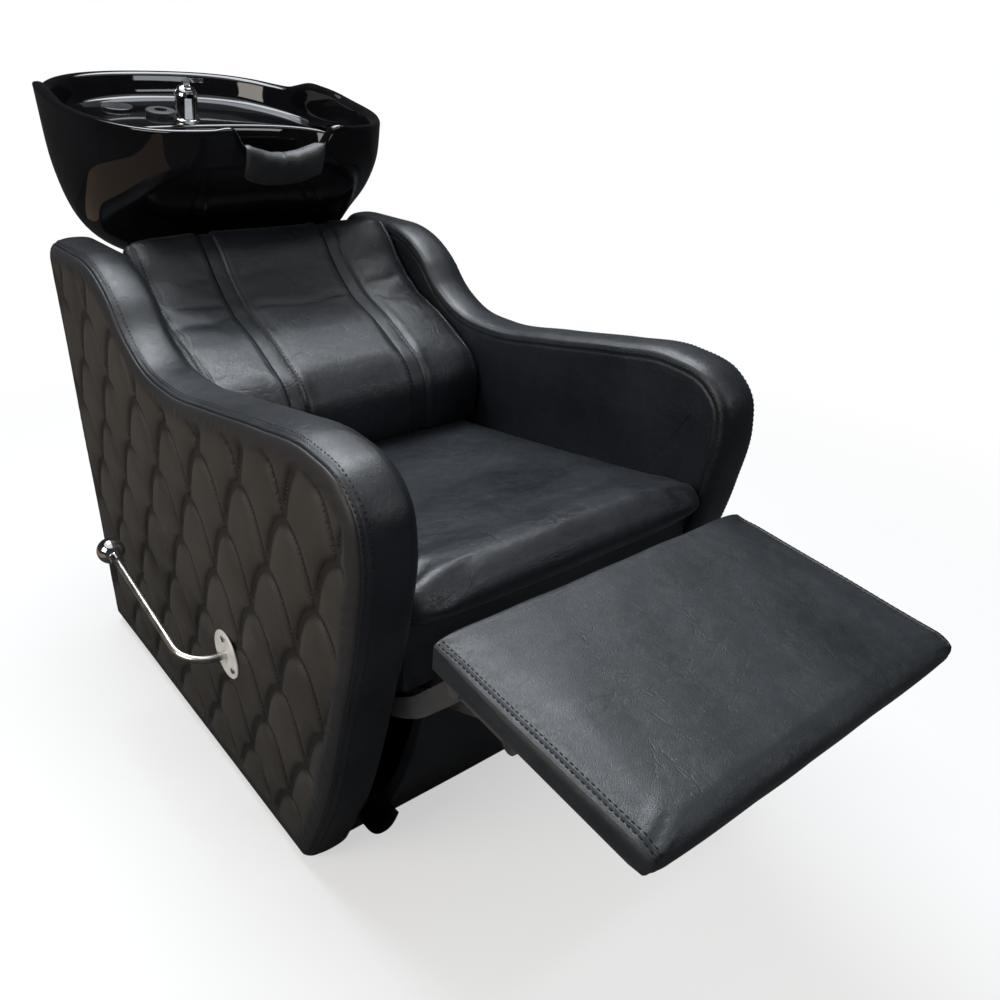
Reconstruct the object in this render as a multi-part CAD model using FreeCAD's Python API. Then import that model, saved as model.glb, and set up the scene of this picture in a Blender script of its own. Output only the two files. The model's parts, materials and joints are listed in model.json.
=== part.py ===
import FreeCAD, Part
import math
import os
from FreeCAD import Vector

# Hair washing bed: an upholstered shampoo chair with a tilting ceramic basin
# behind the headrest, a leg rest on a parallel linkage and a side lever that works it.
# Millimetres, +Z up, the sitter looks along -Y, the lever is on the -X side.
# The pieces are laid out from the rear face of the body (y = 0), the floor (z = 0)
# and the middle of the seat (x = 0); the whole is moved to its own middle at the end.

# Whole body
BODY_WIDTH = 652.0
BODY_DEPTH = 1016.0
BODY_HEIGHT = 765.0
FOOT_HEIGHT = 15.0
SEAT_OPENING = 494.0

# Gaps shared by many pieces
RUN_GAP = 0.05
SOFT_GAP = 0.3
BOLT_GAP = 0.2
OVERRUN = 5.0
NEARLY_NOTHING_share = 1e-6

# Arms: outline as shares of body depth (from the rear) and body height
ARM_TOP_shares = (
    (0.0, 0.950),
    (0.037, 1.0),
    (0.167, 1.0),
    (0.246, 0.979),
    (0.295, 0.940),
    (0.340, 0.882),
    (0.394, 0.845),
    (0.487, 0.833),
    (0.630, 0.857),
    (0.780, 0.889),
    (0.891, 0.904),
    (0.960, 0.884),
    (0.992, 0.840),
    (1.0, 0.785),
    (0.987, 0.661),
    (0.942, 0.458),
    (0.876, 0.203),
)
ARM_TOE_share = 0.805
ARM_CROWN = 14.0
ARM_CROWN_shares = (
    (0.0, 1.0),
    (0.05, 0.45),
    (0.18, 0.1),
    (0.5, 0.0),
    (0.82, 0.12),
    (0.95, 0.45),
    (1.0, 0.8),
)
EDGE_PADDING = 24.0
LINING = 14.0
SIDE_FRAME_THICKNESS = 38.0
BARE_MARGIN = 40.0
BARE_REAR = 120.0

# Quilted outer faces: a fish-scale pattern of puffed pads on a flat sheet
QUILT_THICKNESS = 12.0
QUILT_SHEET = 5.0
QUILT_MARGIN = 9.0
QUILT_SEAM_MARGIN = 17.0
QUILT_PITCH = 122.0
QUILT_RISE = 93.0
QUILT_PHASE_DEPTH = 532.0
QUILT_PHASE_HEIGHT = 484.0
QUILT_FOOT_share = 0.955
QUILT_CREST_share = 0.82
QUILT_MIDDLE_shares = (0.70, 0.43)

# Feet
FOOT_TOP_RADIUS = 21.0
FOOT_FLOOR_RADIUS = 15.0
FOOT_INSET = 26.0
FOOT_STUD_RADIUS = 5.0
FOOT_STUD_LENGTH = 30.0

# Timber rails between the side frames
RAIL_HEIGHT = 60.0
FRONT_RAIL_THICKNESS = 50.0
REAR_RAIL_THICKNESS = 90.0
REAR_PANEL_THICKNESS = 16.0
REAR_PANEL_TOP = 640.0
REAR_TOP_RAIL_THICKNESS = 26.0

# Seat
SEAT_BOARD_THICKNESS = 18.0
SEAT_BASE = 392.0
SEAT_BOARD_REAR = 430.0
BEARER_HEIGHT = 40.0
BEARER_WIDTH = 28.0
BEARER_SETBACK = 156.0
BEARER_REAR = 440.0
SEAT_OVERHANG = 35.0
SEAT_FRONT_RISE = 135.0
SEAT_TOP_shares = (
    (0.0, 0.46),
    (0.45, 0.70),
    (0.665, 0.83),
    (0.81, 0.92),
    (0.905, 0.985),
    (0.955, 0.975),
    (0.99, 0.85),
    (1.0, 0.72),
    (0.975, 0.585),
)
SEAT_CROWN = 14.0
CUSHION_CROWN_shares = (
    (-1.0, 1.0),
    (-0.965, 0.5),
    (-0.86, 0.14),
    (-0.5, 0.02),
    (0.0, 0.0),
    (0.5, 0.02),
    (0.86, 0.14),
    (0.965, 0.5),
    (1.0, 1.0),
)
APRON_THICKNESS = 27.0
APRON_SETBACK = 48.0
APRON_BOTTOM = 372.0
APRON_TOP = 469.0
APRON_ROUND = 7.0

# Kick panel, flush with the fronts of the arms
KICK_WIDTH = 388.0
KICK_INSET = 6.0
KICK_THICKNESS = 22.0

# Backrest: outline as shares of its depth and rise, over the top and down the front
BACK_REAR = 140.0
BACK_DEPTH = 347.0
BACK_BASE = 463.0
BACK_RISE = 315.0
BACK_FRONT_shares = (
    (0.0, 0.85),
    (0.0, 0.90),
    (0.075, 0.998),
    (0.165, 0.937),
    (0.277, 0.797),
    (0.43, 0.664),
    (0.66, 0.565),
    (0.80, 0.486),
    (0.925, 0.40),
    (0.985, 0.295),
    (0.995, 0.15),
    (0.955, 0.0),
)
BACK_HEEL_share = 0.745
BACK_CROWN = 16.0
BACK_CROWN_shares = (
    (0.0, 1.0),
    (0.035, 0.42),
    (0.15, 0.06),
)
STRIPE_INNER = 98.0
STRIPE_OUTER = 127.0
STRIPE_SEAM = 7.0
STRIPE_DEPTH = 5.0
BACK_BOARD_THICKNESS = 15.0
BACK_BEARER_WIDTH = 24.0
BACK_BEARER_DEPTH = 32.0
BACK_BOARD_shares = (0.02, 0.96)
BACK_BEARER_shares = (0.06, 0.86)

# Leg rest, laid out flat with its hinge as the origin and then sloped
HINGE_OUT = 52.0
HINGE_HEIGHT = 443.0
LEG_REST_SLOPE = 6.4
LEG_REST_WIDTH = 518.0
LEG_REST_LENGTH = 334.0
LEG_REST_THICKNESS = 39.0
LEG_REST_OVERHANG = 35.0
LEG_REST_TOP = 53.0
LEG_REST_NOSE = 30.0
LEG_REST_EDGE = 7.0
LEG_REST_CROWN = 6.0
LEG_REST_BOARD_THICKNESS = 14.0
LEG_REST_BOARD_MARGIN = 9.0

# Leg rest linkage: plates side by side on each side, measured from the middle
LINK_PITCH = 95.6
SHAFT_SETBACK = 400.0
SHAFT_HEIGHT = 262.0
STRUT_PLACE = 206.0
STRUT_THICKNESS = 6.0
CRANK_GAP = 1.0
CRANK_THICKNESS = 6.0
ARM_PLACE = 224.0
ARM_THICKNESS = 7.0
WEB_PLACE = 239.0
WEB_THICKNESS = 6.0
STRUT_WIDTH = 18.0
CRANK_WIDTH = 26.0
CRANK_HUB_RADIUS = 19.0
WEB_HEIGHT = 22.0
WEB_OVERHANG = 17.0
FLANGE_GAP = 6.0
FLANGE_WIDTH = 30.0
FLANGE_THICKNESS = 4.0
HINGE_ARM_WIDTH = 28.0
HINGE_ROOT_SETBACK = 220.0
HINGE_ROOT_HEIGHT = 300.0
HINGE_ARM_shares = (
    (0.0, 0.0),
    (0.36, 0.03),
    (0.60, 0.27),
    (0.79, 0.60),
    (1.0, 1.0),
)
HINGE_BOLT_shares = (0.09, 0.29)
STANDOFF_RADIUS = 11.0
PIVOT_RADIUS = 5.0
PIVOT_HEAD_RADIUS = 11.0
PIVOT_HEAD = 5.0
NUT_RADIUS = 8.5
NUT_HEIGHT = 7.0
WASHER_RADIUS = 10.0
SMALL_BOLT_RADIUS = 4.0
SMALL_HEAD_RADIUS = 7.0
SMALL_HEAD = 5.0
SCREW_RADIUS = 2.5
SCREW_HEAD_RADIUS = 5.0
SCREW_HEAD = 2.5
SCREW_LENGTH = 12.0

# Torque shaft and lever
SHAFT_RADIUS = 10.0
SHAFT_END_GAP = 6.0
BUSH_RADIUS = 13.0
BUSH_FLANGE_RADIUS = 18.0
BUSH_FLANGE = 3.0
COLLAR_RADIUS = 16.0
COLLAR_WIDTH = 12.0
SHAFT_HOLE_GAP = 3.0
ROD_RADIUS = 6.0
ROD_SOCKET = 40.0
ROD_OUT = 60.0
ROD_BEND = 50.0
LEVER_LENGTH = 304.0
LEVER_RISE = 11.0
KNOB_RADIUS = 21.5
KNOB_NECK_RADIUS = 10.0
KNOB_NECK = 12.0
KNOB_SOCKET = 14.0
PLATE_RADIUS = 38.0
PLATE_THICKNESS = 2.5
PLATE_SCREW_CIRCLE = 28.0
PLATE_SCREWS = 3

# Basin stand and tilt cradle
STAND_PLACE = 165.0
STAND_TUBE = 30.0
STAND_WALL = 2.5
STAND_DEPTH = 66.0
STAND_TOP = 690.0
STAND_FOOT = 64.0
STAND_FOOT_THICKNESS = 6.0
STAND_BRACE_HEIGHT = 420.0
TILT_HEIGHT = 672.0
TILT_PIN_RADIUS = 6.0
CRADLE_PLATE = 5.0
CRADLE_TOP = 711.0
CRADLE_FRONT = 100.0
CRADLE_REAR = 66.0
CRADLE_ROUND = 24.0
CRADLE_EAR_WIDTH = 34.0
EAR_GAP = 1.5
PAD_RADIUS = 16.0
PAD_HEIGHT = 4.0
PAD_PLACE = 86.0
PAD_FRONT = 68.0
PAD_REAR = 22.0
CRADLE_BOLT_BITE = 10.0

# Basin: half of its plan, and sections (rise, width, front, rear) from the foot up
BASIN_FOOT = 715.0
BASIN_RIM = 1030.0
BASIN_HALF_WIDTH = 277.0
BASIN_FRONT = 300.0
BASIN_REAR = 334.0
BASIN_PLAN_shares = (
    (0.0, -1.0),
    (0.62, -0.925),
    (0.895, -0.557),
    (1.0, -0.083),
    (0.96, 0.39),
    (0.76, 0.76),
    (0.0, 1.0),
)
BASIN_WALL_shares = (
    (0.0, 0.50, 0.32, 0.44),
    (0.025, 0.65, 0.34, 0.49),
    (0.08, 0.775, 0.38, 0.555),
    (0.15, 0.86, 0.41, 0.61),
    (0.205, 0.90, 0.44, 0.645),
    (0.29, 0.94, 0.60, 0.69),
    (0.40, 0.97, 0.76, 0.75),
    (0.58, 0.995, 0.90, 0.835),
    (1.0, 1.0, 1.0, 1.0),
)
BASIN_BOWL_shares = (
    (0.057, 0.34, 0.25, 0.06),
    (0.085, 0.54, 0.30, 0.14),
    (0.159, 0.73, 0.355, 0.21),
    (0.205, 0.78, 0.385, 0.235),
    (0.270, 0.84, 0.48, 0.25),
    (0.429, 0.895, 0.72, 0.275),
    (0.72, 0.925, 0.88, 0.295),
)
RIM_WIDTH = 20.0
BASIN_WALL = 12.0
MOUTH_WIDTH = 230.0
MOUTH_FRONT = 112.0
MOUTH_REAR = 196.0
RIM_PROFILE_shares = (
    (-1.2, 0.745),
    (-0.817, 0.737),
    (-0.463, 0.773),
    (-0.083, 0.825),
    (0.14, 0.867),
    (0.257, 0.889),
    (0.377, 0.906),
    (0.455, 0.893),
    (0.53, 0.879),
    (0.63, 0.889),
    (0.78, 0.917),
    (1.0, 0.955),
    (1.2, 0.975),
)
DECK_FRONT = 76.0
DECK_HEIGHT = 921.0
DECK_SLOPE = 11.0
DRAIN_PLACE = 40.0
DRAIN_RADIUS = 23.0
NOTCH_HALF_WIDTH = 88.0
NOTCH_SHOULDER_shares = (0.80, 0.38)
NOTCH_DEPTH = 52.0
NOTCH_RIM = 951.0
NOTCH_REAR = 168.0

# Neck rest over the notch
NECK_THICKNESS = 14.0
NECK_HALF_WIDTH = 67.0
NECK_TOP = 920.0
NECK_BIB_DROP = 44.0
NECK_BIB_THICKNESS = 11.0
NECK_REAR = 186.0

# Basin fittings
STRAINER_RADIUS = 26.0
STRAINER_THICKNESS = 3.0
STRAINER_HOLE_RADIUS = 2.6
STRAINER_HOLE_CIRCLE = 11.0
STRAINER_HOLES = 8
TAIL_RADIUS = 16.0
TAIL_WALL = 2.5
TAIL_LENGTH = 60.0
DRAIN_NUT_RADIUS = 30.0
DRAIN_NUT_HEIGHT = 10.0
TAP_PLACE = 56.0
TAP_BASE_RADIUS = 25.0
TAP_BASE_HEIGHT = 6.0
TAP_STEM_RADIUS = 9.0
TAP_STEM_LENGTH = 30.0
TAP_BODY_RADIUS = 20.0
TAP_BODY_HEIGHT = 38.0
TAP_CAP_RADIUS = 21.0
TAP_CAP_HEIGHT = 22.0
TAP_LEVER_LENGTH = 86.0
TAP_LEVER_WIDTH = 24.0
TAP_LEVER_THICKNESS = 7.0
TAP_LEVER_RISE = 12.0
TAP_EAR = 6.0
TAP_PIN_RADIUS = 2.5
TAP_PIN_share = 0.75
RING_PLACE_X = 34.0
RING_PLACE_Y = 98.0
RING_RADIUS = 28.0
RING_HOLE_RADIUS = 12.0
RING_HEIGHT = 10.0
CAP_PLACE_X = 98.0
CAP_PLACE_Y = 150.0
CAP_RADIUS = 29.0
CAP_HEIGHT = 5.0
FITTING_STEM_RADIUS = 15.0
FITTING_NUT_RADIUS = 23.0
FITTING_NUT_HEIGHT = 8.0
FITTING_TAIL = 8.0

# Planes and places worked out from the sizes above
HALF = BODY_WIDTH / 2
INNER = SEAT_OPENING / 2
FRAME_IN = INNER + LINING
FRAME_OUT = FRAME_IN + SIDE_FRAME_THICKNESS
SKIN = HALF - QUILT_THICKNESS
RAIL_TOP = FOOT_HEIGHT + RAIL_HEIGHT
APRON_FRONT = BODY_DEPTH - APRON_SETBACK
SEAT_DEPTH = APRON_FRONT + SEAT_OVERHANG - SEAT_BOARD_REAR
HINGE = (-BODY_DEPTH - HINGE_OUT, HINGE_HEIGHT)
HINGE_ROOT = (HINGE_ROOT_SETBACK - BODY_DEPTH, HINGE_ROOT_HEIGHT)
SHAFT = (SHAFT_SETBACK - BODY_DEPTH, SHAFT_HEIGHT)
TILT = (-STAND_DEPTH, TILT_HEIGHT)
SLOPE = math.radians(LEG_REST_SLOPE)
LINK = (-LINK_PITCH * math.cos(SLOPE), -LINK_PITCH * math.sin(SLOPE))
STRUT_TOP = (HINGE[0] + LINK[0], HINGE[1] + LINK[1])
CRANK_PIN = (SHAFT[0] + LINK[0], SHAFT[1] + LINK[1])
CRANK_PLACE = STRUT_PLACE + STRUT_THICKNESS + CRANK_GAP
KNOB_X = -HALF - ROD_OUT
LEVER_TILT = math.radians(LEVER_RISE)
KNOB = (SHAFT[0] + LEVER_LENGTH * math.cos(LEVER_TILT), SHAFT[1] + LEVER_LENGTH * math.sin(LEVER_TILT))
BASIN_HEIGHT = BASIN_RIM - BASIN_FOOT

# Middle of the floor that the whole object covers, leg rest out and lever included
MIDDLE = Vector(
    (HALF + KNOB_X - KNOB_RADIUS) / 2,
    (HINGE[0] + LEG_REST_OVERHANG - LEG_REST_LENGTH + BASIN_REAR) / 2,
    0,
)


# Small makers

def block(x0, x1, y0, y1, z0, z1):
    return Part.makeBox(x1 - x0, y1 - y0, z1 - z0, Vector(x0, y0, z0))


def bar_x(x0, x1, y, z, radius):
    return Part.makeCylinder(radius, x1 - x0, Vector(x0, y, z), Vector(1, 0, 0))


def bar_z(z0, z1, x, y, radius):
    return Part.makeCylinder(radius, z1 - z0, Vector(x, y, z0), Vector(0, 0, 1))


def hexagon_x(x0, x1, y, z, radius):
    corners = [
        Vector(x0, y + radius * math.cos(k * math.pi / 3), z + radius * math.sin(k * math.pi / 3))
        for k in range(6)
    ]
    return Part.Face(Part.makePolygon(corners + corners[:1])).extrude(Vector(x1 - x0, 0, 0))


def hexagon_z(z0, z1, x, y, radius):
    corners = [
        Vector(x + radius * math.cos(k * math.pi / 3), y + radius * math.sin(k * math.pi / 3), z0)
        for k in range(6)
    ]
    return Part.Face(Part.makePolygon(corners + corners[:1])).extrude(Vector(0, 0, z1 - z0))


def joined(shapes):
    """One solid from pieces that touch or overlap."""
    return shapes[0].multiFuse(shapes[1:]).removeSplitter()


def group(shapes):
    return Part.makeCompound(shapes)


def mirrored(shape):
    return shape.mirror(Vector(0, 0, 0), Vector(1, 0, 0))


def both_sides(shape):
    return group([shape, mirrored(shape)])


def cut_all(shape, tools):
    for tool in tools:
        shape = shape.cut(tool)
    return shape


# Smooth outlines: arcs that meet without a corner, through points in one plane

def unit(a, b):
    size = math.hypot(a, b)
    return (a / size, b / size)


def tangents_of(points, fixed):
    """Direction at each point: that of the circle through it and its neighbours."""
    result = []
    last = len(points) - 1
    for i, p in enumerate(points):
        if i in fixed:
            result.append(unit(*fixed[i]))
            continue
        if i == 0 or i == last:
            a, b = (points[0], points[1]) if i == 0 else (points[last - 1], points[last])
            result.append(unit(b[0] - a[0], b[1] - a[1]))
            continue
        a, b = points[i - 1], points[i + 1]
        before = (p[0] - a[0], p[1] - a[1])
        after = (b[0] - p[0], b[1] - p[1])
        near, far = math.hypot(*before), math.hypot(*after)
        result.append(unit(
            before[0] * far / near + after[0] * near / far,
            before[1] * far / near + after[1] * near / far,
        ))
    return result


def meeting_point(p, s, q, t):
    """Where the two arcs of a biarc meet, with start p, s and end q, t."""
    v = (q[0] - p[0], q[1] - p[1])
    w = (s[0] + t[0], s[1] + t[1])
    vw = v[0] * w[0] + v[1] * w[1]
    vv = v[0] ** 2 + v[1] ** 2
    open_share = 2 * (1 - s[0] * t[0] - s[1] * t[1])
    if open_share < NEARLY_NOTHING_share:
        reach = vv / (2 * vw)
    else:
        reach = (math.sqrt(vw ** 2 + open_share * vv) - vw) / open_share
    return ((p[0] + q[0] + reach * (s[0] - t[0])) / 2, (p[1] + q[1] + reach * (s[1] - t[1])) / 2)


def arc_edge(p, s, q, place):
    """Arc from p to q that leaves p along s, or a line where it hardly bends."""
    chord = (q[0] - p[0], q[1] - p[1])
    length = math.hypot(*chord)
    cross = (chord[0] * s[1] - chord[1] * s[0]) / length
    if abs(cross) < NEARLY_NOTHING_share:
        return Part.LineSegment(place(p), place(q)).toShape()
    along = (chord[0] * s[0] + chord[1] * s[1]) / length
    sag = length / 2 * math.tan(math.atan2(cross, along) / 2)
    middle = ((p[0] + q[0]) / 2 - chord[1] / length * sag, (p[1] + q[1]) / 2 + chord[0] / length * sag)
    return Part.Arc(place(p), place(middle), place(q)).toShape()


def smooth_edges(points, fixed, inset, place):
    """Arc edges along the points, moved by inset to the left of the way they run."""
    ways = tangents_of(points, fixed)
    moved = [(p[0] - t[1] * inset, p[1] + t[0] * inset) for p, t in zip(points, ways)]
    edges = []
    for p, s, q, t in zip(moved, ways, moved[1:], ways[1:]):
        m = meeting_point(p, s, q, t)
        edges.append(arc_edge(p, s, m, place))
        edges.append(arc_edge(q, (-t[0], -t[1]), m, place))
    return edges, moved


def at_x(x):
    return lambda p: Vector(x, p[0], p[1])


def at_z(z):
    return lambda p: Vector(p[0], p[1], z)


def closed_wire(points, fixed, inset, tail, place):
    """Smooth edges closed by straight ones through the tail points."""
    edges, moved = smooth_edges(points, fixed, inset, place)
    corners = [moved[-1]] + list(tail) + [moved[0]]
    for a, b in zip(corners, corners[1:]):
        edges.append(Part.LineSegment(place(a), place(b)).toShape())
    return Part.Wire(Part.__sortEdges__(edges))


def crowned(points, fixed, tail, stations):
    """Solid lofted over x through one outline drawn in by an inset at each station."""
    wires = [closed_wire(points, fixed, inset, tail, at_x(x)) for x, inset in stations]
    return Part.makeLoft(wires, True, True)


def slab(points, fixed, tail, inset, x0, x1):
    """Flat plate with the outline in the side view, from x0 to x1."""
    wire = closed_wire(points, fixed, inset, tail, at_x(x0))
    return Part.Face(wire).extrude(Vector(x1 - x0, 0, 0))


def ribbon(points, width, x0, x1):
    """Flat bar of one width that follows the points in the side view, with a round end."""
    left, left_ends = smooth_edges(points, {}, width / 2, at_x(x0))
    right, right_ends = smooth_edges(points, {}, -width / 2, at_x(x0))
    way = tangents_of(points, {})[-1]
    tip = (points[-1][0] + way[0] * width / 2, points[-1][1] + way[1] * width / 2)
    place = at_x(x0)
    edges = left + right
    edges.append(Part.Arc(place(left_ends[-1]), place(tip), place(right_ends[-1])).toShape())
    edges.append(Part.LineSegment(place(left_ends[0]), place(right_ends[0])).toShape())
    return Part.Face(Part.Wire(Part.__sortEdges__(edges))).extrude(Vector(x1 - x0, 0, 0))


def link_plate(a, b, width, x0, x1):
    """Flat link with round ends about the centres a and b."""
    way = unit(b[0] - a[0], b[1] - a[1])
    side = (-way[1] * width / 2, way[0] * width / 2)
    place = at_x(x0)
    corner = [
        (a[0] + side[0], a[1] + side[1]),
        (b[0] + side[0], b[1] + side[1]),
        (b[0] - side[0], b[1] - side[1]),
        (a[0] - side[0], a[1] - side[1]),
    ]
    far = (b[0] + way[0] * width / 2, b[1] + way[1] * width / 2)
    near = (a[0] - way[0] * width / 2, a[1] - way[1] * width / 2)
    edges = [
        Part.LineSegment(place(corner[0]), place(corner[1])).toShape(),
        Part.Arc(place(corner[1]), place(far), place(corner[2])).toShape(),
        Part.LineSegment(place(corner[2]), place(corner[3])).toShape(),
        Part.Arc(place(corner[3]), place(near), place(corner[0])).toShape(),
    ]
    return Part.Face(Part.Wire(edges)).extrude(Vector(x1 - x0, 0, 0))


# Arms

def arm_points():
    """Side view of an arm, run on below its sole so that every inset is trimmed level."""
    points = [(0.0, -BODY_HEIGHT)]
    for depth, height in ARM_TOP_shares:
        points.append((-depth * BODY_DEPTH, height * BODY_HEIGHT))
    shin = points[-1]
    toe = (-ARM_TOE_share * BODY_DEPTH, FOOT_HEIGHT)
    points.append(toe)
    points.append((2 * toe[0] - shin[0], 2 * toe[1] - shin[1]))
    return points


def above_sole(shape):
    space = block(-BODY_WIDTH, BODY_WIDTH, -2 * BODY_DEPTH, BODY_DEPTH, FOOT_HEIGHT, 2 * BODY_HEIGHT)
    return shape.common(space)


ARM_FIXED = {0: (0, 1), 1: (0, 1), 2: (-1, 0), 3: (-1, 0)}


def arm_slab(inset, x0, x1):
    return above_sole(slab(arm_points(), ARM_FIXED, [], inset, x0, x1))


def side_frame():
    frame = arm_slab(EDGE_PADDING, FRAME_IN, FRAME_OUT)
    frame = frame.cut(bar_x(FRAME_IN - OVERRUN, FRAME_OUT + OVERRUN, SHAFT[0], SHAFT[1], BUSH_RADIUS))
    return cut_all(frame, hinge_bolts() + feet())


def bare_window():
    """Space below the seat where the timber is left uncovered for the ironwork."""
    outline = arm_slab(BARE_MARGIN, INNER - OVERRUN, FRAME_IN)
    low = block(INNER - OVERRUN, FRAME_IN, -BODY_DEPTH, -BARE_REAR, FOOT_HEIGHT - OVERRUN, SEAT_BASE)
    return outline.common(low)


def arm_pad(shaft_hole):
    stations = [(INNER + across * (SKIN - INNER), inset * ARM_CROWN) for across, inset in ARM_CROWN_shares]
    pad = above_sole(crowned(arm_points(), ARM_FIXED, [], stations))
    pad = pad.cut(arm_slab(EDGE_PADDING, FRAME_IN, FRAME_OUT))
    pad = pad.cut(bare_window())
    if shaft_hole:
        pad = pad.cut(bar_x(FRAME_OUT, HALF, SHAFT[0], SHAFT[1], BUSH_RADIUS))
    return pad


def scale_wire(y, z, share, x):
    """Outline of one fish scale with its crest at y, z, shrunk about its middle."""
    half = QUILT_PITCH / 2
    across, down = QUILT_MIDDLE_shares
    shape = [
        (0, 0), (across, -down), (1, -1), (1 - across, -1 - down),
        (0, -2), (across - 1, -1 - down), (-1, -1), (-across, -down),
    ]
    place = [
        Vector(x, y + half * a * share, z - QUILT_RISE + QUILT_RISE * (b + 1) * share)
        for a, b in shape
    ]
    arcs = [
        Part.Arc(place[k], place[k + 1], place[(k + 2) % len(place)]).toShape()
        for k in range(0, len(place), 2)
    ]
    return Part.Wire(arcs)


def quilt_places():
    """Crests of all scales that can reach the panel, row by row."""
    rows = math.ceil(BODY_HEIGHT / QUILT_RISE) + 2
    columns = math.ceil(BODY_DEPTH / QUILT_PITCH) + 2
    first_row = math.ceil(QUILT_PHASE_HEIGHT / QUILT_RISE)
    first_column = math.ceil(QUILT_PHASE_DEPTH / QUILT_PITCH)
    for row in range(rows):
        shift = QUILT_PITCH / 2 if (row - first_row) % 2 else 0.0
        z = QUILT_PHASE_HEIGHT + (row - first_row) * QUILT_RISE
        for column in range(columns):
            yield -QUILT_PHASE_DEPTH + (first_column - column) * QUILT_PITCH + shift, z


def quilted_panel(shaft_hole):
    sheet = arm_slab(QUILT_MARGIN, SKIN, SKIN + QUILT_SHEET)
    field = arm_slab(QUILT_SEAM_MARGIN, SKIN + QUILT_SHEET, HALF)
    box = field.BoundBox
    puffs = []
    for y, z in quilt_places():
        if y + QUILT_PITCH / 2 < box.YMin or y - QUILT_PITCH / 2 > box.YMax:
            continue
        if z < box.ZMin or z - 2 * QUILT_RISE > box.ZMax:
            continue
        foot = scale_wire(y, z, QUILT_FOOT_share, SKIN + QUILT_SHEET)
        crest = scale_wire(y, z, QUILT_CREST_share, HALF)
        puff = Part.makeLoft([foot, crest], True, True).common(field)
        if puff.Volume > QUILT_SHEET ** 3:
            puffs.append(puff)
    panel = sheet.multiFuse(puffs)
    if shaft_hole:
        hole = bar_x(SKIN - OVERRUN, HALF + OVERRUN, SHAFT[0], SHAFT[1], SHAFT_RADIUS + SHAFT_HOLE_GAP)
        panel = cut_all(panel, [hole] + plate_screws())
    return panel


# Timber work between the arms

def front_rail():
    rail = block(-INNER, INNER, -BODY_DEPTH, -BODY_DEPTH * ARM_TOE_share + FRONT_RAIL_THICKNESS,
                 FOOT_HEIGHT, RAIL_TOP)
    return rail.common(arm_slab(KICK_INSET + KICK_THICKNESS, -INNER, INNER))


def rear_rail():
    rail = block(-INNER, INNER, -REAR_PANEL_THICKNESS - REAR_RAIL_THICKNESS, -REAR_PANEL_THICKNESS,
                 FOOT_HEIGHT, RAIL_TOP)
    return cut_all(rail, stand_bolts() + [mirrored(s) for s in stand_bolts()])


def rear_top_rail():
    return block(-INNER, INNER, -REAR_PANEL_THICKNESS - REAR_TOP_RAIL_THICKNESS, -REAR_PANEL_THICKNESS,
                 REAR_PANEL_TOP - RAIL_HEIGHT, REAR_PANEL_TOP)


def rear_panel():
    side = INNER - SOFT_GAP
    return block(-side, side, -REAR_PANEL_THICKNESS, 0, FOOT_HEIGHT, REAR_PANEL_TOP)


def kick_panel():
    half = KICK_WIDTH / 2
    outer = arm_slab(KICK_INSET, -half, half)
    inner = arm_slab(KICK_INSET + KICK_THICKNESS, -half - OVERRUN, half + OVERRUN)
    front = block(-half, half, -BODY_DEPTH, -BODY_DEPTH * ARM_TOE_share + 2 * KICK_THICKNESS,
                  FOOT_HEIGHT + SOFT_GAP, APRON_BOTTOM)
    return outer.cut(inner).common(front)


def front_apron():
    side = INNER - SOFT_GAP
    apron = block(-side, side, -APRON_FRONT, -APRON_FRONT + APRON_THICKNESS, APRON_BOTTOM, APRON_TOP)
    low_front = [
        e for e in apron.Edges
        if abs(e.BoundBox.YMax + APRON_FRONT) < SOFT_GAP and abs(e.BoundBox.ZMax - APRON_BOTTOM) < SOFT_GAP
    ]
    return apron.makeFillet(APRON_ROUND, low_front)


def feet():
    shapes = []
    toe = -BODY_DEPTH * ARM_TOE_share
    middle = (FRAME_IN + FRAME_OUT) / 2
    for y in (toe + EDGE_PADDING + FOOT_INSET, -EDGE_PADDING - FOOT_INSET):
        foot = Part.makeCone(FOOT_FLOOR_RADIUS, FOOT_TOP_RADIUS, FOOT_HEIGHT, Vector(middle, y, 0))
        stud = bar_z(FOOT_HEIGHT, FOOT_HEIGHT + FOOT_STUD_LENGTH, middle, y, FOOT_STUD_RADIUS)
        shapes.append(foot.fuse(stud))
    return shapes


# Seat and backrest

def seat_board():
    side = INNER - SOFT_GAP
    return block(-side, side, -APRON_FRONT + APRON_THICKNESS, -SEAT_BOARD_REAR,
                 SEAT_BASE - SEAT_BOARD_THICKNESS, SEAT_BASE)


def seat_bearer():
    top = SEAT_BASE - SEAT_BOARD_THICKNESS
    front = BEARER_SETBACK - BODY_DEPTH
    return block(FRAME_IN - BEARER_WIDTH, FRAME_IN, front, -BEARER_REAR, top - BEARER_HEIGHT, top)


def cushion_stations(half, crown):
    return [(across * half, inset * crown) for across, inset in CUSHION_CROWN_shares]


def seat_cushion():
    points = [
        (-SEAT_BOARD_REAR - depth * SEAT_DEPTH, SEAT_BASE + rise * SEAT_FRONT_RISE)
        for depth, rise in SEAT_TOP_shares
    ]
    back = -APRON_FRONT + APRON_THICKNESS
    tail = [(back, APRON_TOP + SOFT_GAP), (back, SEAT_BASE), (-SEAT_BOARD_REAR, SEAT_BASE)]
    return crowned(points, {}, tail, cushion_stations(INNER - SOFT_GAP, SEAT_CROWN))


def back_points():
    return [
        (-BACK_REAR - depth * BACK_DEPTH, BACK_BASE + rise * BACK_RISE)
        for depth, rise in BACK_FRONT_shares
    ]


BACK_FIXED = {0: (0, 1), 1: (0, 1), 2: (-1, 0)}


def back_heel():
    return (-BACK_REAR - BACK_HEEL_share * BACK_DEPTH, BACK_BASE)


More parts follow.
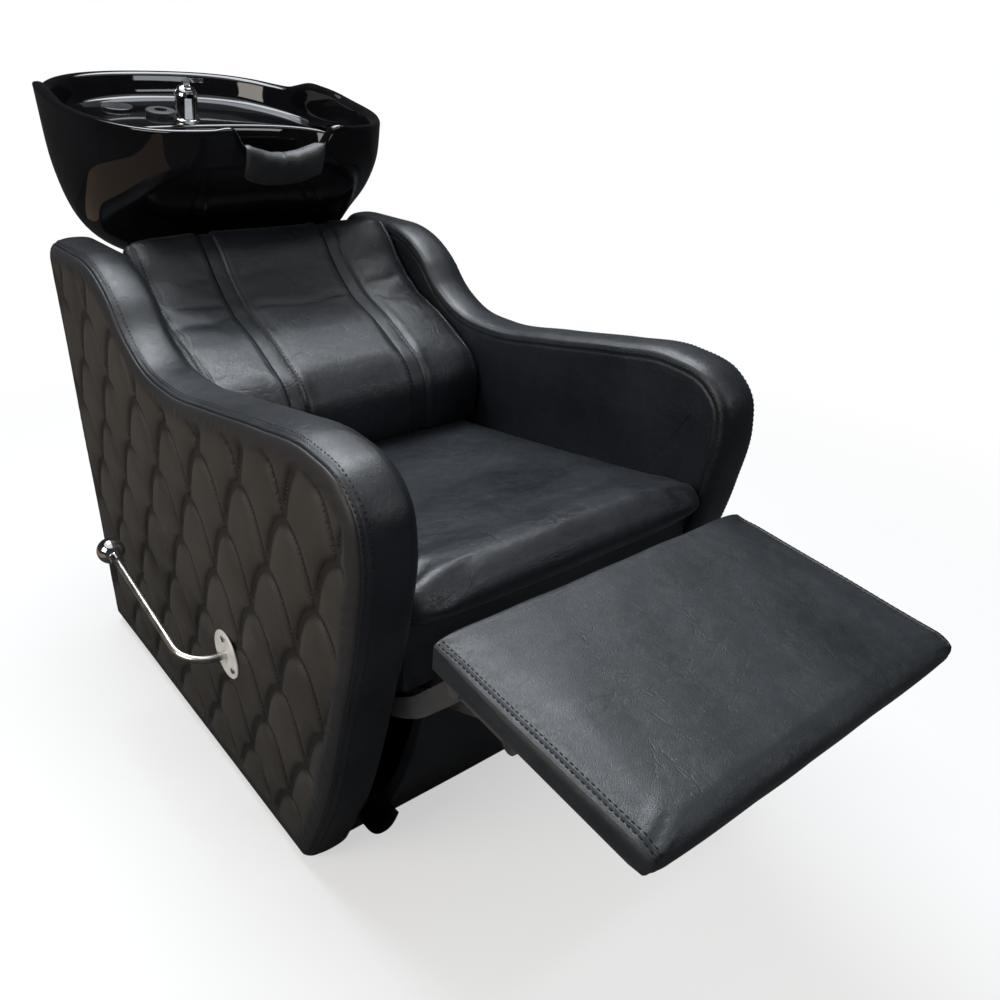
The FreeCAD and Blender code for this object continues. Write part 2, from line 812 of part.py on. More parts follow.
def backrest_stations():
    """Across the pad: drawn-in sides and two sewn stripes that lie a little deeper."""
    half = INNER - SOFT_GAP
    right = [(half * (1 - across), inset * BACK_CROWN) for across, inset in BACK_CROWN_shares]
    right += [
        (STRIPE_OUTER, 0.0),
        (STRIPE_OUTER - STRIPE_SEAM, STRIPE_DEPTH),
        (STRIPE_INNER + STRIPE_SEAM, STRIPE_DEPTH),
        (STRIPE_INNER, 0.0),
    ]
    left = [(-x, inset) for x, inset in right]
    return left + right[::-1]


def backrest_pad():
    return crowned(back_points(), BACK_FIXED, [back_heel()], backrest_stations())


def back_line():
    """Underside of the pad: its heel, its top rear corner, the way between and the way out."""
    low = back_heel()
    high = back_points()[0]
    way = unit(high[0] - low[0], high[1] - low[1])
    return low, high, way, (way[1], -way[0])


def back_plate(near, far, x0, x1, low_share, high_share):
    """Flat board that lies behind the pad between two depths and two shares of its length."""
    low, high, way, out = back_line()
    length = math.hypot(high[0] - low[0], high[1] - low[1])
    corners = []
    for along, depth in ((low_share, near), (high_share, near), (high_share, far), (low_share, far)):
        corners.append(Vector(
            x0,
            low[0] + way[0] * along * length + out[0] * depth,
            low[1] + way[1] * along * length + out[1] * depth,
        ))
    return Part.Face(Part.makePolygon(corners + corners[:1])).extrude(Vector(x1 - x0, 0, 0))


def backrest_board():
    side = INNER - SOFT_GAP
    return back_plate(0, BACK_BOARD_THICKNESS, -side, side, *BACK_BOARD_shares)


def backrest_bearer():
    near = BACK_BOARD_THICKNESS
    return back_plate(near, near + BACK_BEARER_DEPTH, INNER - BACK_BEARER_WIDTH, INNER, *BACK_BEARER_shares)


# Ironwork of the leg rest

def hinge_arm_points():
    out, up = HINGE[0] - HINGE_ROOT[0], HINGE[1] - HINGE_ROOT[1]
    return [(HINGE_ROOT[0] + a * out, HINGE_ROOT[1] + b * up) for a, b in HINGE_ARM_shares]


def hinge_bolt_places():
    out = HINGE[0] - HINGE_ROOT[0]
    return [(HINGE_ROOT[0] + share * out, HINGE_ROOT[1]) for share in HINGE_BOLT_shares]


def hinge_arm():
    arm = ribbon(hinge_arm_points(), HINGE_ARM_WIDTH, ARM_PLACE, ARM_PLACE + ARM_THICKNESS)
    arm = arm.cut(bar_x(ARM_PLACE - OVERRUN, FRAME_IN, HINGE[0], HINGE[1], PIVOT_RADIUS + RUN_GAP))
    for y, z in hinge_bolt_places():
        arm = arm.cut(bar_x(ARM_PLACE - OVERRUN, FRAME_IN, y, z, SMALL_BOLT_RADIUS + BOLT_GAP))
    return arm


def hinge_standoffs():
    shapes = []
    for y, z in hinge_bolt_places():
        tube = bar_x(ARM_PLACE + ARM_THICKNESS, FRAME_IN, y, z, STANDOFF_RADIUS)
        shapes.append(tube.cut(bar_x(ARM_PLACE, FRAME_OUT, y, z, SMALL_BOLT_RADIUS + BOLT_GAP)))
    return shapes


def hinge_bolts():
    shapes = []
    for y, z in hinge_bolt_places():
        head = hexagon_x(ARM_PLACE - SMALL_HEAD, ARM_PLACE, y, z, SMALL_HEAD_RADIUS)
        shank = bar_x(ARM_PLACE, FRAME_IN + LINING, y, z, SMALL_BOLT_RADIUS)
        shapes.append(head.fuse(shank))
    return shapes


def torque_shaft():
    left = -SKIN - QUILT_SHEET
    shaft = bar_x(left, FRAME_OUT - SHAFT_END_GAP, SHAFT[0], SHAFT[1], SHAFT_RADIUS)
    return shaft.cut(bar_x(left - OVERRUN, left + ROD_SOCKET, SHAFT[0], SHAFT[1], ROD_RADIUS))


def shaft_bush():
    bush = bar_x(FRAME_IN, FRAME_OUT, SHAFT[0], SHAFT[1], BUSH_RADIUS)
    flange = bar_x(FRAME_IN - BUSH_FLANGE, FRAME_IN, SHAFT[0], SHAFT[1], BUSH_FLANGE_RADIUS)
    bore = bar_x(FRAME_IN - COLLAR_WIDTH, FRAME_OUT + OVERRUN, SHAFT[0], SHAFT[1], SHAFT_RADIUS + RUN_GAP)
    return bush.fuse(flange).cut(bore)


def shaft_collar():
    right = FRAME_IN - BUSH_FLANGE - RUN_GAP
    left = right - COLLAR_WIDTH
    collar = bar_x(left, right, SHAFT[0], SHAFT[1], COLLAR_RADIUS)
    return collar.cut(bar_x(left - OVERRUN, right + OVERRUN, SHAFT[0], SHAFT[1], SHAFT_RADIUS))


def crank():
    x0, x1 = CRANK_PLACE, CRANK_PLACE + CRANK_THICKNESS
    plate = link_plate(SHAFT, CRANK_PIN, CRANK_WIDTH, x0, x1)
    hub = bar_x(x0, x1, SHAFT[0], SHAFT[1], CRANK_HUB_RADIUS)
    crank_shape = plate.fuse(hub)
    crank_shape = crank_shape.cut(bar_x(x0 - OVERRUN, x1 + OVERRUN, SHAFT[0], SHAFT[1], SHAFT_RADIUS))
    return crank_shape.cut(bar_x(x0 - OVERRUN, x1 + OVERRUN, CRANK_PIN[0], CRANK_PIN[1], PIVOT_RADIUS))


def crank_pin():
    inner_end = STRUT_PLACE - CRANK_GAP
    shank = bar_x(inner_end, CRANK_PLACE + CRANK_THICKNESS, CRANK_PIN[0], CRANK_PIN[1], PIVOT_RADIUS)
    clip = bar_x(inner_end - WEB_THICKNESS, inner_end, CRANK_PIN[0], CRANK_PIN[1], WASHER_RADIUS)
    washer = bar_x(CRANK_PLACE - CRANK_GAP + RUN_GAP, CRANK_PLACE, CRANK_PIN[0], CRANK_PIN[1], WASHER_RADIUS)
    return shank.fuse(clip).fuse(washer)


def strut():
    x0, x1 = STRUT_PLACE, STRUT_PLACE + STRUT_THICKNESS
    bar = link_plate(CRANK_PIN, STRUT_TOP, STRUT_WIDTH, x0, x1)
    bar = bar.cut(bar_x(x0 - OVERRUN, x1 + OVERRUN, CRANK_PIN[0], CRANK_PIN[1], PIVOT_RADIUS + BOLT_GAP))
    return bar.cut(bar_x(x0 - OVERRUN, x1 + OVERRUN, STRUT_TOP[0], STRUT_TOP[1], PIVOT_RADIUS + RUN_GAP))


def pivot_bolt(y, z, nut_side, spacers):
    """Bolt from outside the web inwards to a nut on nut_side, with spacer tubes between."""
    outside = WEB_PLACE + WEB_THICKNESS
    head = bar_x(outside, outside + PIVOT_HEAD, y, z, PIVOT_HEAD_RADIUS)
    shank = bar_x(nut_side - NUT_HEIGHT, outside, y, z, PIVOT_RADIUS)
    nut = hexagon_x(nut_side - NUT_HEIGHT, nut_side, y, z, NUT_RADIUS)
    shapes = [head, shank, nut]
    for x0, x1 in spacers:
        shapes.append(bar_x(x0, x1, y, z, WASHER_RADIUS))
    return joined(shapes)


def hinge_pivot():
    spacer = (ARM_PLACE + ARM_THICKNESS + RUN_GAP, WEB_PLACE)
    return pivot_bolt(HINGE[0], HINGE[1], ARM_PLACE - RUN_GAP, [spacer])


def strut_pivot():
    spacer = (STRUT_PLACE + STRUT_THICKNESS + RUN_GAP, WEB_PLACE)
    return pivot_bolt(STRUT_TOP[0], STRUT_TOP[1], STRUT_PLACE - RUN_GAP, [spacer])


def sloped(shape):
    """From the flat leg-rest layout about its hinge to its place and slope."""
    moved = shape.copy()
    moved.translate(Vector(0, HINGE[0], HINGE[1]))
    moved.rotate(Vector(0, HINGE[0], HINGE[1]), Vector(1, 0, 0), LEG_REST_SLOPE)
    return moved


def flange_ends():
    """The flange stops short of the hinge, where the end of the fixed arm turns."""
    return -LINK_PITCH - WEB_OVERHANG, -HINGE_ARM_WIDTH / 2 - FLANGE_GAP


def bracket_screw_places():
    x = WEB_PLACE - FLANGE_WIDTH / 2
    front, rear = flange_ends()
    first = front + 2 * WEB_OVERHANG + SCREW_HEAD_RADIUS
    last = rear - WEB_OVERHANG / 2
    return [(x, y) for y in (first, (first + last) / 2, last)]


def leg_rest_bracket():
    """Angle under the board: a flange screwed up into it and a web that hangs down."""
    underside = LEG_REST_TOP - LEG_REST_THICKNESS
    y0, y1 = flange_ends()
    web = link_plate((-LINK_PITCH, 0), (0, 0), WEB_HEIGHT, WEB_PLACE, WEB_PLACE + WEB_THICKNESS)
    wall = block(WEB_PLACE, WEB_PLACE + WEB_THICKNESS, -LINK_PITCH, 0, 0, underside)
    flange = block(WEB_PLACE - FLANGE_WIDTH, WEB_PLACE + WEB_THICKNESS, y0, y1,
                   underside - FLANGE_THICKNESS, underside)
    bracket = joined([web, wall, flange])
    for y in (0.0, -LINK_PITCH):
        bracket = bracket.cut(bar_x(WEB_PLACE - OVERRUN, HALF, y, 0, PIVOT_RADIUS))
    for x, y in bracket_screw_places():
        bracket = bracket.cut(bar_z(0, underside + OVERRUN, x, y, SCREW_RADIUS))
    return sloped(bracket)


def bracket_screws():
    flange_bottom = LEG_REST_TOP - LEG_REST_THICKNESS - FLANGE_THICKNESS
    shapes = []
    for x, y in bracket_screw_places():
        head = bar_z(flange_bottom - SCREW_HEAD, flange_bottom, x, y, SCREW_HEAD_RADIUS)
        shank = bar_z(flange_bottom, flange_bottom + SCREW_LENGTH, x, y, SCREW_RADIUS)
        shapes.append(sloped(head.fuse(shank)))
    return shapes


def board_block(grow):
    underside = LEG_REST_TOP - LEG_REST_THICKNESS
    half = LEG_REST_WIDTH / 2 - LEG_REST_BOARD_MARGIN
    y1 = LEG_REST_OVERHANG - LEG_REST_BOARD_MARGIN
    y0 = LEG_REST_OVERHANG - LEG_REST_LENGTH + LEG_REST_NOSE
    return block(-half, half, y0, y1, underside - grow, underside + LEG_REST_BOARD_THICKNESS)


def leg_rest_board():
    board = board_block(0)
    flange_bottom = LEG_REST_TOP - LEG_REST_THICKNESS - FLANGE_THICKNESS
    for x, y in bracket_screw_places():
        for side in (-x, x):
            board = board.cut(bar_z(flange_bottom, flange_bottom + SCREW_LENGTH, side, y, SCREW_RADIUS))
    return sloped(board)


def leg_rest_pad():
    underside = LEG_REST_TOP - LEG_REST_THICKNESS
    rear, front = LEG_REST_OVERHANG, LEG_REST_OVERHANG - LEG_REST_LENGTH
    top = LEG_REST_TOP
    points = [
        (rear, underside),
        (rear, top - LEG_REST_EDGE),
        (rear - LEG_REST_EDGE, top),
        (front + LEG_REST_NOSE, top),
        (front, (top + underside) / 2),
        (front + LEG_REST_EDGE, underside),
    ]
    fixed = {0: (0, 1), 1: (0, 1), 2: (-1, 0), 3: (-1, 0), 4: (0, -1)}
    stations = cushion_stations(LEG_REST_WIDTH / 2, LEG_REST_CROWN)
    pad = crowned(points, fixed, [], stations)
    return sloped(pad.cut(board_block(OVERRUN)))


# Lever

def lever_rod():
    way = Vector(0, math.cos(LEVER_TILT), math.sin(LEVER_TILT))
    inside = Vector(-SKIN - QUILT_SHEET + ROD_SOCKET, SHAFT[0], SHAFT[1])
    turn_in = Vector(KNOB_X + ROD_BEND, SHAFT[0], SHAFT[1])
    centre = turn_in + way * ROD_BEND
    turn_out = centre - Vector(ROD_BEND, 0, 0)
    slant = math.cos(math.pi / 4) * ROD_BEND
    middle = centre - Vector(slant, 0, 0) - way * slant
    end = Vector(KNOB_X, KNOB[0], KNOB[1]) - way * (KNOB_RADIUS - KNOB_SOCKET)
    path = Part.Wire([
        Part.LineSegment(inside, turn_in).toShape(),
        Part.Arc(turn_in, middle, turn_out).toShape(),
        Part.LineSegment(turn_out, end).toShape(),
    ])
    ring = Part.Wire(Part.makeCircle(ROD_RADIUS, inside, Vector(1, 0, 0)))
    return path.makePipeShell([ring], True, False)


def lever_knob():
    way = Vector(0, math.cos(LEVER_TILT), math.sin(LEVER_TILT))
    centre = Vector(KNOB_X, KNOB[0], KNOB[1])
    ball = Part.makeSphere(KNOB_RADIUS, centre)
    neck_length = KNOB_RADIUS + KNOB_NECK
    neck = Part.makeCylinder(KNOB_NECK_RADIUS, neck_length, centre - way * neck_length, way)
    reach = neck_length + OVERRUN
    bore_end = KNOB_RADIUS - KNOB_SOCKET
    bore = Part.makeCylinder(ROD_RADIUS, reach - bore_end, centre - way * reach, way)
    return ball.fuse(neck).cut(bore)


def plate_screw_places():
    return [
        (
            SHAFT[0] + PLATE_SCREW_CIRCLE * math.cos(2 * math.pi * k / PLATE_SCREWS + math.pi / 2),
            SHAFT[1] + PLATE_SCREW_CIRCLE * math.sin(2 * math.pi * k / PLATE_SCREWS + math.pi / 2),
        )
        for k in range(PLATE_SCREWS)
    ]


def plate_screws():
    """Screws of the lever plate, drawn for the +X side."""
    shapes = []
    face = HALF + PLATE_THICKNESS
    for y, z in plate_screw_places():
        head = bar_x(face, face + SCREW_HEAD, y, z, SCREW_HEAD_RADIUS)
        shapes.append(head.fuse(bar_x(SKIN, face, y, z, SCREW_RADIUS)))
    return shapes


def escutcheon():
    """Round plate where the lever comes out of the quilted panel, drawn for the +X side."""
    plate = bar_x(HALF, HALF + PLATE_THICKNESS, SHAFT[0], SHAFT[1], PLATE_RADIUS)
    plate = plate.makeChamfer(PLATE_THICKNESS / 3, [
        e for e in plate.Edges if e.BoundBox.XMin > HALF + PLATE_THICKNESS - RUN_GAP
    ])
    plate = plate.cut(bar_x(HALF - OVERRUN, HALF + PLATE_THICKNESS + OVERRUN, SHAFT[0], SHAFT[1],
                            ROD_RADIUS + BOLT_GAP))
    for y, z in plate_screw_places():
        plate = plate.cut(bar_x(HALF - OVERRUN, HALF + PLATE_THICKNESS + OVERRUN, y, z, SCREW_RADIUS))
    return plate


# Basin stand and cradle

def stand_tube(x0, x1, y0, y1, z0, z1, along):
    """Square tube, open along z or x."""
    wall = STAND_WALL
    outer = block(x0, x1, y0, y1, z0, z1)
    if along == "z":
        return outer.cut(block(x0 + wall, x1 - wall, y0 + wall, y1 - wall, z0 - OVERRUN, z1 + OVERRUN))
    return outer.cut(block(x0 - OVERRUN, x1 + OVERRUN, y0 + wall, y1 - wall, z0 + wall, z1 - wall))


def basin_stand():
    half = STAND_TUBE / 2
    y0, y1 = TILT[0] - half, TILT[0] + half
    post = stand_tube(STAND_PLACE - half, STAND_PLACE + half, y0, y1,
                      RAIL_TOP + STAND_FOOT_THICKNESS, STAND_TOP, "z")
    foot_half = STAND_FOOT / 2
    foot = block(STAND_PLACE - foot_half, STAND_PLACE + foot_half,
                 TILT[0] - foot_half, TILT[0] + foot_half, RAIL_TOP, RAIL_TOP + STAND_FOOT_THICKNESS)
    for y in stand_bolt_places():
        foot = foot.cut(bar_z(RAIL_TOP - OVERRUN, RAIL_TOP + STAND_FOOT, STAND_PLACE, y, SMALL_BOLT_RADIUS))
    side = post.fuse(foot)
    side = side.cut(bar_x(INNER - STAND_PLACE, INNER, TILT[0], TILT[1], TILT_PIN_RADIUS))
    brace = stand_tube(-STAND_PLACE + half, STAND_PLACE - half, y0, y1,
                       STAND_BRACE_HEIGHT, STAND_BRACE_HEIGHT + STAND_TUBE, "x")
    return joined([side, mirrored(side), brace])


def stand_bolt_places():
    reach = (STAND_FOOT + STAND_TUBE) / 4
    return (TILT[0] - reach, TILT[0] + reach)


def stand_bolts():
    shapes = []
    top = RAIL_TOP + STAND_FOOT_THICKNESS
    for y in stand_bolt_places():
        head = hexagon_z(top, top + SMALL_HEAD, STAND_PLACE, y, SMALL_HEAD_RADIUS)
        shapes.append(head.fuse(bar_z(FOOT_HEIGHT + FOOT_HEIGHT, top, STAND_PLACE, y, SMALL_BOLT_RADIUS)))
    return shapes


def ear_plane():
    return STAND_PLACE + STAND_TUBE / 2 + EAR_GAP


def basin_cradle():
    outer = ear_plane() + CRADLE_PLATE
    bottom = CRADLE_TOP - CRADLE_PLATE
    plate = block(-outer, outer, -CRADLE_FRONT, CRADLE_REAR, bottom, CRADLE_TOP)
    corners = [e for e in plate.Edges if e.BoundBox.ZLength > CRADLE_PLATE / 2]
    plate = plate.makeFillet(CRADLE_ROUND, corners)
    drain = DRAIN_NUT_RADIUS + SOFT_GAP
    plate = plate.cut(bar_z(bottom - OVERRUN, CRADLE_TOP + OVERRUN, 0, -DRAIN_PLACE, drain))
    ear = link_plate((TILT[0], TILT[1]), (TILT[0], CRADLE_TOP - CRADLE_EAR_WIDTH / 2),
                     CRADLE_EAR_WIDTH, ear_plane(), outer)
    ear = ear.cut(bar_x(INNER - STAND_PLACE, HALF, TILT[0], TILT[1], TILT_PIN_RADIUS + RUN_GAP))
    for x, y in cradle_bolt_places():
        plate = plate.cut(bar_z(bottom - OVERRUN, CRADLE_TOP + OVERRUN, x, y, SMALL_BOLT_RADIUS))
    return joined([plate, ear, mirrored(ear)])


def tilt_pin():
    """Bolt through the post and the cradle ear, head inside, nut outside."""
    inside = STAND_PLACE - STAND_TUBE / 2
    outside = ear_plane() + CRADLE_PLATE
    head = hexagon_x(inside - SMALL_HEAD, inside, TILT[0], TILT[1], NUT_RADIUS + RUN_GAP)
    shank = bar_x(inside, outside + NUT_HEIGHT, TILT[0], TILT[1], TILT_PIN_RADIUS)
    washer = bar_x(ear_plane() - EAR_GAP, ear_plane() - RUN_GAP, TILT[0], TILT[1], PIVOT_HEAD_RADIUS)
    return joined([head, shank, washer])


def tilt_nut():
    outside = ear_plane() + CRADLE_PLATE + RUN_GAP
    end = outside + NUT_HEIGHT
    nut = hexagon_x(outside, end, TILT[0], TILT[1], PIVOT_HEAD_RADIUS)
    return nut.cut(bar_x(outside - OVERRUN, end + OVERRUN, TILT[0], TILT[1], TILT_PIN_RADIUS))


def cradle_pad_places():
    return [(x, y) for x in (-PAD_PLACE, PAD_PLACE) for y in (-PAD_FRONT, PAD_REAR)]


def cradle_pads():
    shapes = []
    for x, y in cradle_pad_places():
        pad = bar_z(CRADLE_TOP, CRADLE_TOP + PAD_HEIGHT, x, y, PAD_RADIUS)
        shapes.append(pad)
    return shapes


def cradle_bolt_places():
    return [(-PAD_PLACE / 2, PAD_REAR), (PAD_PLACE / 2, PAD_REAR)]


def cradle_bolts():
    shapes = []
    bottom = CRADLE_TOP - CRADLE_PLATE
    for x, y in cradle_bolt_places():
        head = hexagon_z(bottom - SMALL_HEAD, bottom, x, y, SMALL_HEAD_RADIUS)
        shapes.append(head.fuse(bar_z(bottom, BASIN_FOOT + CRADLE_BOLT_BITE, x, y, SMALL_BOLT_RADIUS)))
    return shapes


# Basin

def plan_wire(row, inset):
    """Rounded plan of the bowl at one height, drawn in by inset."""
    rise, wide, ahead, behind = row
    half = BASIN_HALF_WIDTH * wide - inset
    front = BASIN_FRONT * ahead - inset
    rear = BASIN_REAR * behind - inset
    right = [(x * half, y * (rear if y > 0 else front)) for x, y in BASIN_PLAN_shares]
    ways = tangents_of(right, {0: (1, 0), len(right) - 1: (-1, 0)})
    left = [(-x, y) for x, y in right[-2::-1]]
    left_ways = [(t[0], -t[1]) for t in ways[-2::-1]]
    all_ways = dict(enumerate(ways + left_ways))
    edges, _ = smooth_edges(right + left, all_ways, 0.0, at_z(BASIN_FOOT + rise * BASIN_HEIGHT))
    return Part.Wire(edges)


def bowl_loft(rows, inset):
    return Part.makeLoft([plan_wire(row, inset) for row in rows], True, True)


def above_rim():
    """Everything above the wavy rim, as a block along x."""
    points = []
    for along, rise in RIM_PROFILE_shares:
        reach = BASIN_REAR if along > 0 else BASIN_FRONT
        points.append((along * reach, BASIN_FOOT + rise * BASIN_HEIGHT))
    top = BASIN_RIM + BASIN_HEIGHT
    half = BASIN_HALF_WIDTH + RIM_WIDTH
    wire = closed_wire(points, {}, 0.0, [(points[-1][0], top), (points[0][0], top)], at_x(-half))
    return Part.Face(wire).extrude(Vector(2 * half, 0, 0))


def deck_turn(shape):
    """From upright at the deck's front edge to square on the sloping deck."""
    turned = shape.copy()
    turned.translate(Vector(0, DECK_FRONT, DECK_HEIGHT))
    turned.rotate(Vector(0, DECK_FRONT, DECK_HEIGHT), Vector(1, 0, 0), DECK_SLOPE)
    return turned


def deck_space():
    """Open space over the deck, up to above the rim."""
    full = bowl_loft([r for r in BASIN_WALL_shares if r[0] > BASIN_BOWL_shares[-2][0]], RIM_WIDTH)
    reach = BASIN_REAR + BASIN_FRONT
    half = BASIN_HALF_WIDTH
    lid = deck_turn(block(-half, half, -OVERRUN, reach, 0, BASIN_HEIGHT))
    return full.common(lid)


def notch_wire(grow, y):
    """U-shaped neck notch in the front view, in the plane y."""
    top = NOTCH_RIM + OVERRUN
    half = NOTCH_HALF_WIDTH - grow
    floor = NOTCH_RIM - NOTCH_DEPTH + grow
    across, up = NOTCH_SHOULDER_shares
    shoulder = NOTCH_HALF_WIDTH * across - grow
    height = floor + (top - floor) * up
    path = [(-half, top), (-shoulder, height), (0.0, floor), (shoulder, height), (half, top)]
    return closed_wire(path, {2: (1, 0)}, 0.0, [], lambda p: Vector(p[0], y, p[1]))


def notch_prism(grow, y0, y1):
    return Part.Face(notch_wire(grow, y0)).extrude(Vector(0, y1 - y0, 0))


def stem_hole(x, y, radius):
    return deck_turn(bar_z(-BASIN_WALL - OVERRUN, OVERRUN, x, y, radius))


def basin():
    shell = bowl_loft(BASIN_WALL_shares, 0.0)
    shell = shell.cut(bowl_loft(BASIN_BOWL_shares, 0.0))
    shell = shell.cut(open_top(0.0))
    shell = shell.cut(service_space())
    shell = shell.cut(deck_space())
    shell = shell.cut(above_rim())
    shell = shell.cut(notch_prism(0.0, -BASIN_FRONT - OVERRUN, -NOTCH_REAR))
    shell = shell.cut(bar_z(BASIN_FOOT - OVERRUN, DECK_HEIGHT, 0, -DRAIN_PLACE, DRAIN_RADIUS))
    for x, y in cradle_bolt_places():
        shell = shell.cut(bar_z(BASIN_FOOT - OVERRUN, BASIN_FOOT + CRADLE_BOLT_BITE, x, y,
                                SMALL_BOLT_RADIUS + RUN_GAP))
    for x, y in ((0.0, TAP_PLACE), (-RING_PLACE_X, RING_PLACE_Y), (-CAP_PLACE_X, CAP_PLACE_Y)):
        shell = shell.cut(stem_hole(x, y, FITTING_STEM_RADIUS + BOLT_GAP))
    return shell


def open_top(inset):
    """Upper part of the bowl in front of the deck, straight up from its last section."""
    last = BASIN_BOWL_shares[-1]
    rim_row = (1.0, 1.0 - RIM_WIDTH / BASIN_HALF_WIDTH, 1.0 - RIM_WIDTH / BASIN_FRONT, last[3])
    return bowl_loft([last, rim_row], inset)


def service_space():
    """Hollow under the deck, behind the bowl, with a mouth below for the fixings of the tap."""
    skin = bowl_loft(BASIN_WALL_shares, BASIN_WALL)
    reach = BASIN_REAR + BASIN_FRONT
    half = BASIN_HALF_WIDTH
    below = deck_turn(block(-half, half, -reach, reach, -BASIN_HEIGHT, -BASIN_WALL))
    behind = block(-half, half, 0, reach, BASIN_FOOT + BASIN_WALL, BASIN_RIM)
    mouth_top = DECK_HEIGHT - BASIN_WALL
    side = MOUTH_WIDTH / 2
    mouth = block(-side, side, MOUTH_FRONT, MOUTH_REAR, BASIN_FOOT - OVERRUN, mouth_top)
    hollow = skin.common(below).common(behind).fuse(mouth)
    hollow = hollow.cut(bowl_loft(BASIN_BOWL_shares, -BASIN_WALL))
    return hollow.cut(open_top(-BASIN_WALL))


def neck_rest():
    lining = notch_prism(SOFT_GAP, -BASIN_FRONT, -NECK_REAR).cut(
        notch_prism(NECK_THICKNESS, -BASIN_FRONT - OVERRUN, -NECK_REAR + OVERRUN))
    outer = bowl_loft(BASIN_WALL_shares, -NECK_BIB_THICKNESS)
    inner = bowl_loft(BASIN_WALL_shares, -SOFT_GAP)
    floor = NOTCH_RIM - NOTCH_DEPTH
    half = NECK_HALF_WIDTH
    front = -BASIN_FRONT - NECK_BIB_THICKNESS
    bib = outer.cut(inner).common(block(-half, half, front, -NOTCH_REAR, floor - NECK_BIB_DROP, NECK_TOP))
    bib = bib.cut(notch_prism(NECK_THICKNESS, front - OVERRUN, -NOTCH_REAR))
    lining = lining.common(outer).common(block(-half, half, front, 0, floor, NECK_TOP))
    return joined([lining, bib])


# Basin fittings

def drain_strainer():
    """Dished grate with a collar that sits in the bowl's outlet."""
    floor = BASIN_FOOT + BASIN_BOWL_shares[0][0] * BASIN_HEIGHT
    disc = bar_z(floor, floor + STRAINER_THICKNESS, 0, -DRAIN_PLACE, STRAINER_RADIUS)
    low = floor - 2 * STRAINER_THICKNESS
    collar = bar_z(low, floor, 0, -DRAIN_PLACE, DRAIN_RADIUS - BOLT_GAP)
    collar = collar.cut(bar_z(BASIN_FOOT, floor, 0, -DRAIN_PLACE, TAIL_RADIUS))
    grate = disc.fuse(collar)
    for k in range(STRAINER_HOLES):
        turn = 2 * math.pi * k / STRAINER_HOLES
        x = STRAINER_HOLE_CIRCLE * math.cos(turn)
        y = -DRAIN_PLACE + STRAINER_HOLE_CIRCLE * math.sin(turn)
        grate = grate.cut(bar_z(floor - OVERRUN, floor + OVERRUN, x, y, STRAINER_HOLE_RADIUS))
    return grate


def drain_tailpiece():
    floor = BASIN_FOOT + BASIN_BOWL_shares[0][0] * BASIN_HEIGHT
    top = floor - 2 * STRAINER_THICKNESS - RUN_GAP
    low = BASIN_FOOT - TAIL_LENGTH
    pipe = bar_z(low, top, 0, -DRAIN_PLACE, TAIL_RADIUS)
    flange = bar_z(BASIN_FOOT, top, 0, -DRAIN_PLACE, DRAIN_RADIUS - BOLT_GAP)
    bore = bar_z(low - OVERRUN, top + OVERRUN, 0, -DRAIN_PLACE, TAIL_RADIUS - TAIL_WALL)
    return pipe.fuse(flange).cut(bore)


def drain_nut():
    low = BASIN_FOOT - DRAIN_NUT_HEIGHT
    nut = hexagon_z(low, BASIN_FOOT, 0, -DRAIN_PLACE, DRAIN_NUT_RADIUS)
    return nut.cut(bar_z(low - OVERRUN, BASIN_FOOT + OVERRUN, 0, -DRAIN_PLACE, TAIL_RADIUS))


def upper_edges(shape, height):
    return [e for e in shape.Edges if e.BoundBox.ZMin > height / 2]


def tap_base():
    flange = bar_z(0, TAP_BASE_HEIGHT, 0, TAP_PLACE, TAP_BASE_RADIUS)
    flange = flange.makeFillet(TAP_BASE_HEIGHT / 2, upper_edges(flange, TAP_BASE_HEIGHT))
    stem = bar_z(TAP_BASE_HEIGHT, TAP_BASE_HEIGHT + TAP_STEM_LENGTH, 0, TAP_PLACE, TAP_STEM_RADIUS)
    tail = bar_z(-BASIN_WALL - FITTING_NUT_HEIGHT - FITTING_TAIL, 0, 0, TAP_PLACE, FITTING_STEM_RADIUS)
    return deck_turn(joined([flange, stem, tail]))


def tap_nut():
    low = -BASIN_WALL - FITTING_NUT_HEIGHT
    nut = hexagon_z(low, -BASIN_WALL, 0, TAP_PLACE, FITTING_NUT_RADIUS)
    return deck_turn(nut.cut(bar_z(low - OVERRUN, OVERRUN, 0, TAP_PLACE, FITTING_STEM_RADIUS)))


def tap_body():
    """Domed body that swivels on the stem and carries the ears of the lever."""
    low = TAP_BASE_HEIGHT + RUN_GAP
    high = low + TAP_BODY_HEIGHT
    body = Part.makeCone(TAP_BODY_RADIUS, TAP_CAP_RADIUS, TAP_BODY_HEIGHT, Vector(0, TAP_PLACE, low))
    dome = Part.makeSphere(TAP_CAP_RADIUS, Vector(0, TAP_PLACE, high))
    dome = dome.common(bar_z(high, high + TAP_CAP_HEIGHT, 0, TAP_PLACE, TAP_CAP_RADIUS + OVERRUN))
    body = body.fuse(dome)
    slot = block(-TAP_EAR - RUN_GAP, TAP_EAR + RUN_GAP, TAP_PLACE - TAP_CAP_RADIUS - OVERRUN,
                 TAP_PLACE + TAP_CAP_RADIUS + OVERRUN, high, high + TAP_CAP_HEIGHT)
    body = body.cut(slot)
    body = body.cut(bar_z(low - OVERRUN, TAP_BASE_HEIGHT + TAP_STEM_LENGTH + RUN_GAP, 0, TAP_PLACE,
                          TAP_STEM_RADIUS + RUN_GAP))
    pin_height = high + TAP_CAP_HEIGHT / 2
    return deck_turn(body.cut(bar_x(-TAP_CAP_RADIUS, TAP_CAP_RADIUS, TAP_PLACE, pin_height, TAP_PIN_RADIUS)))


def tap_pin_height():
    return TAP_BASE_HEIGHT + RUN_GAP + TAP_BODY_HEIGHT + TAP_CAP_HEIGHT / 2


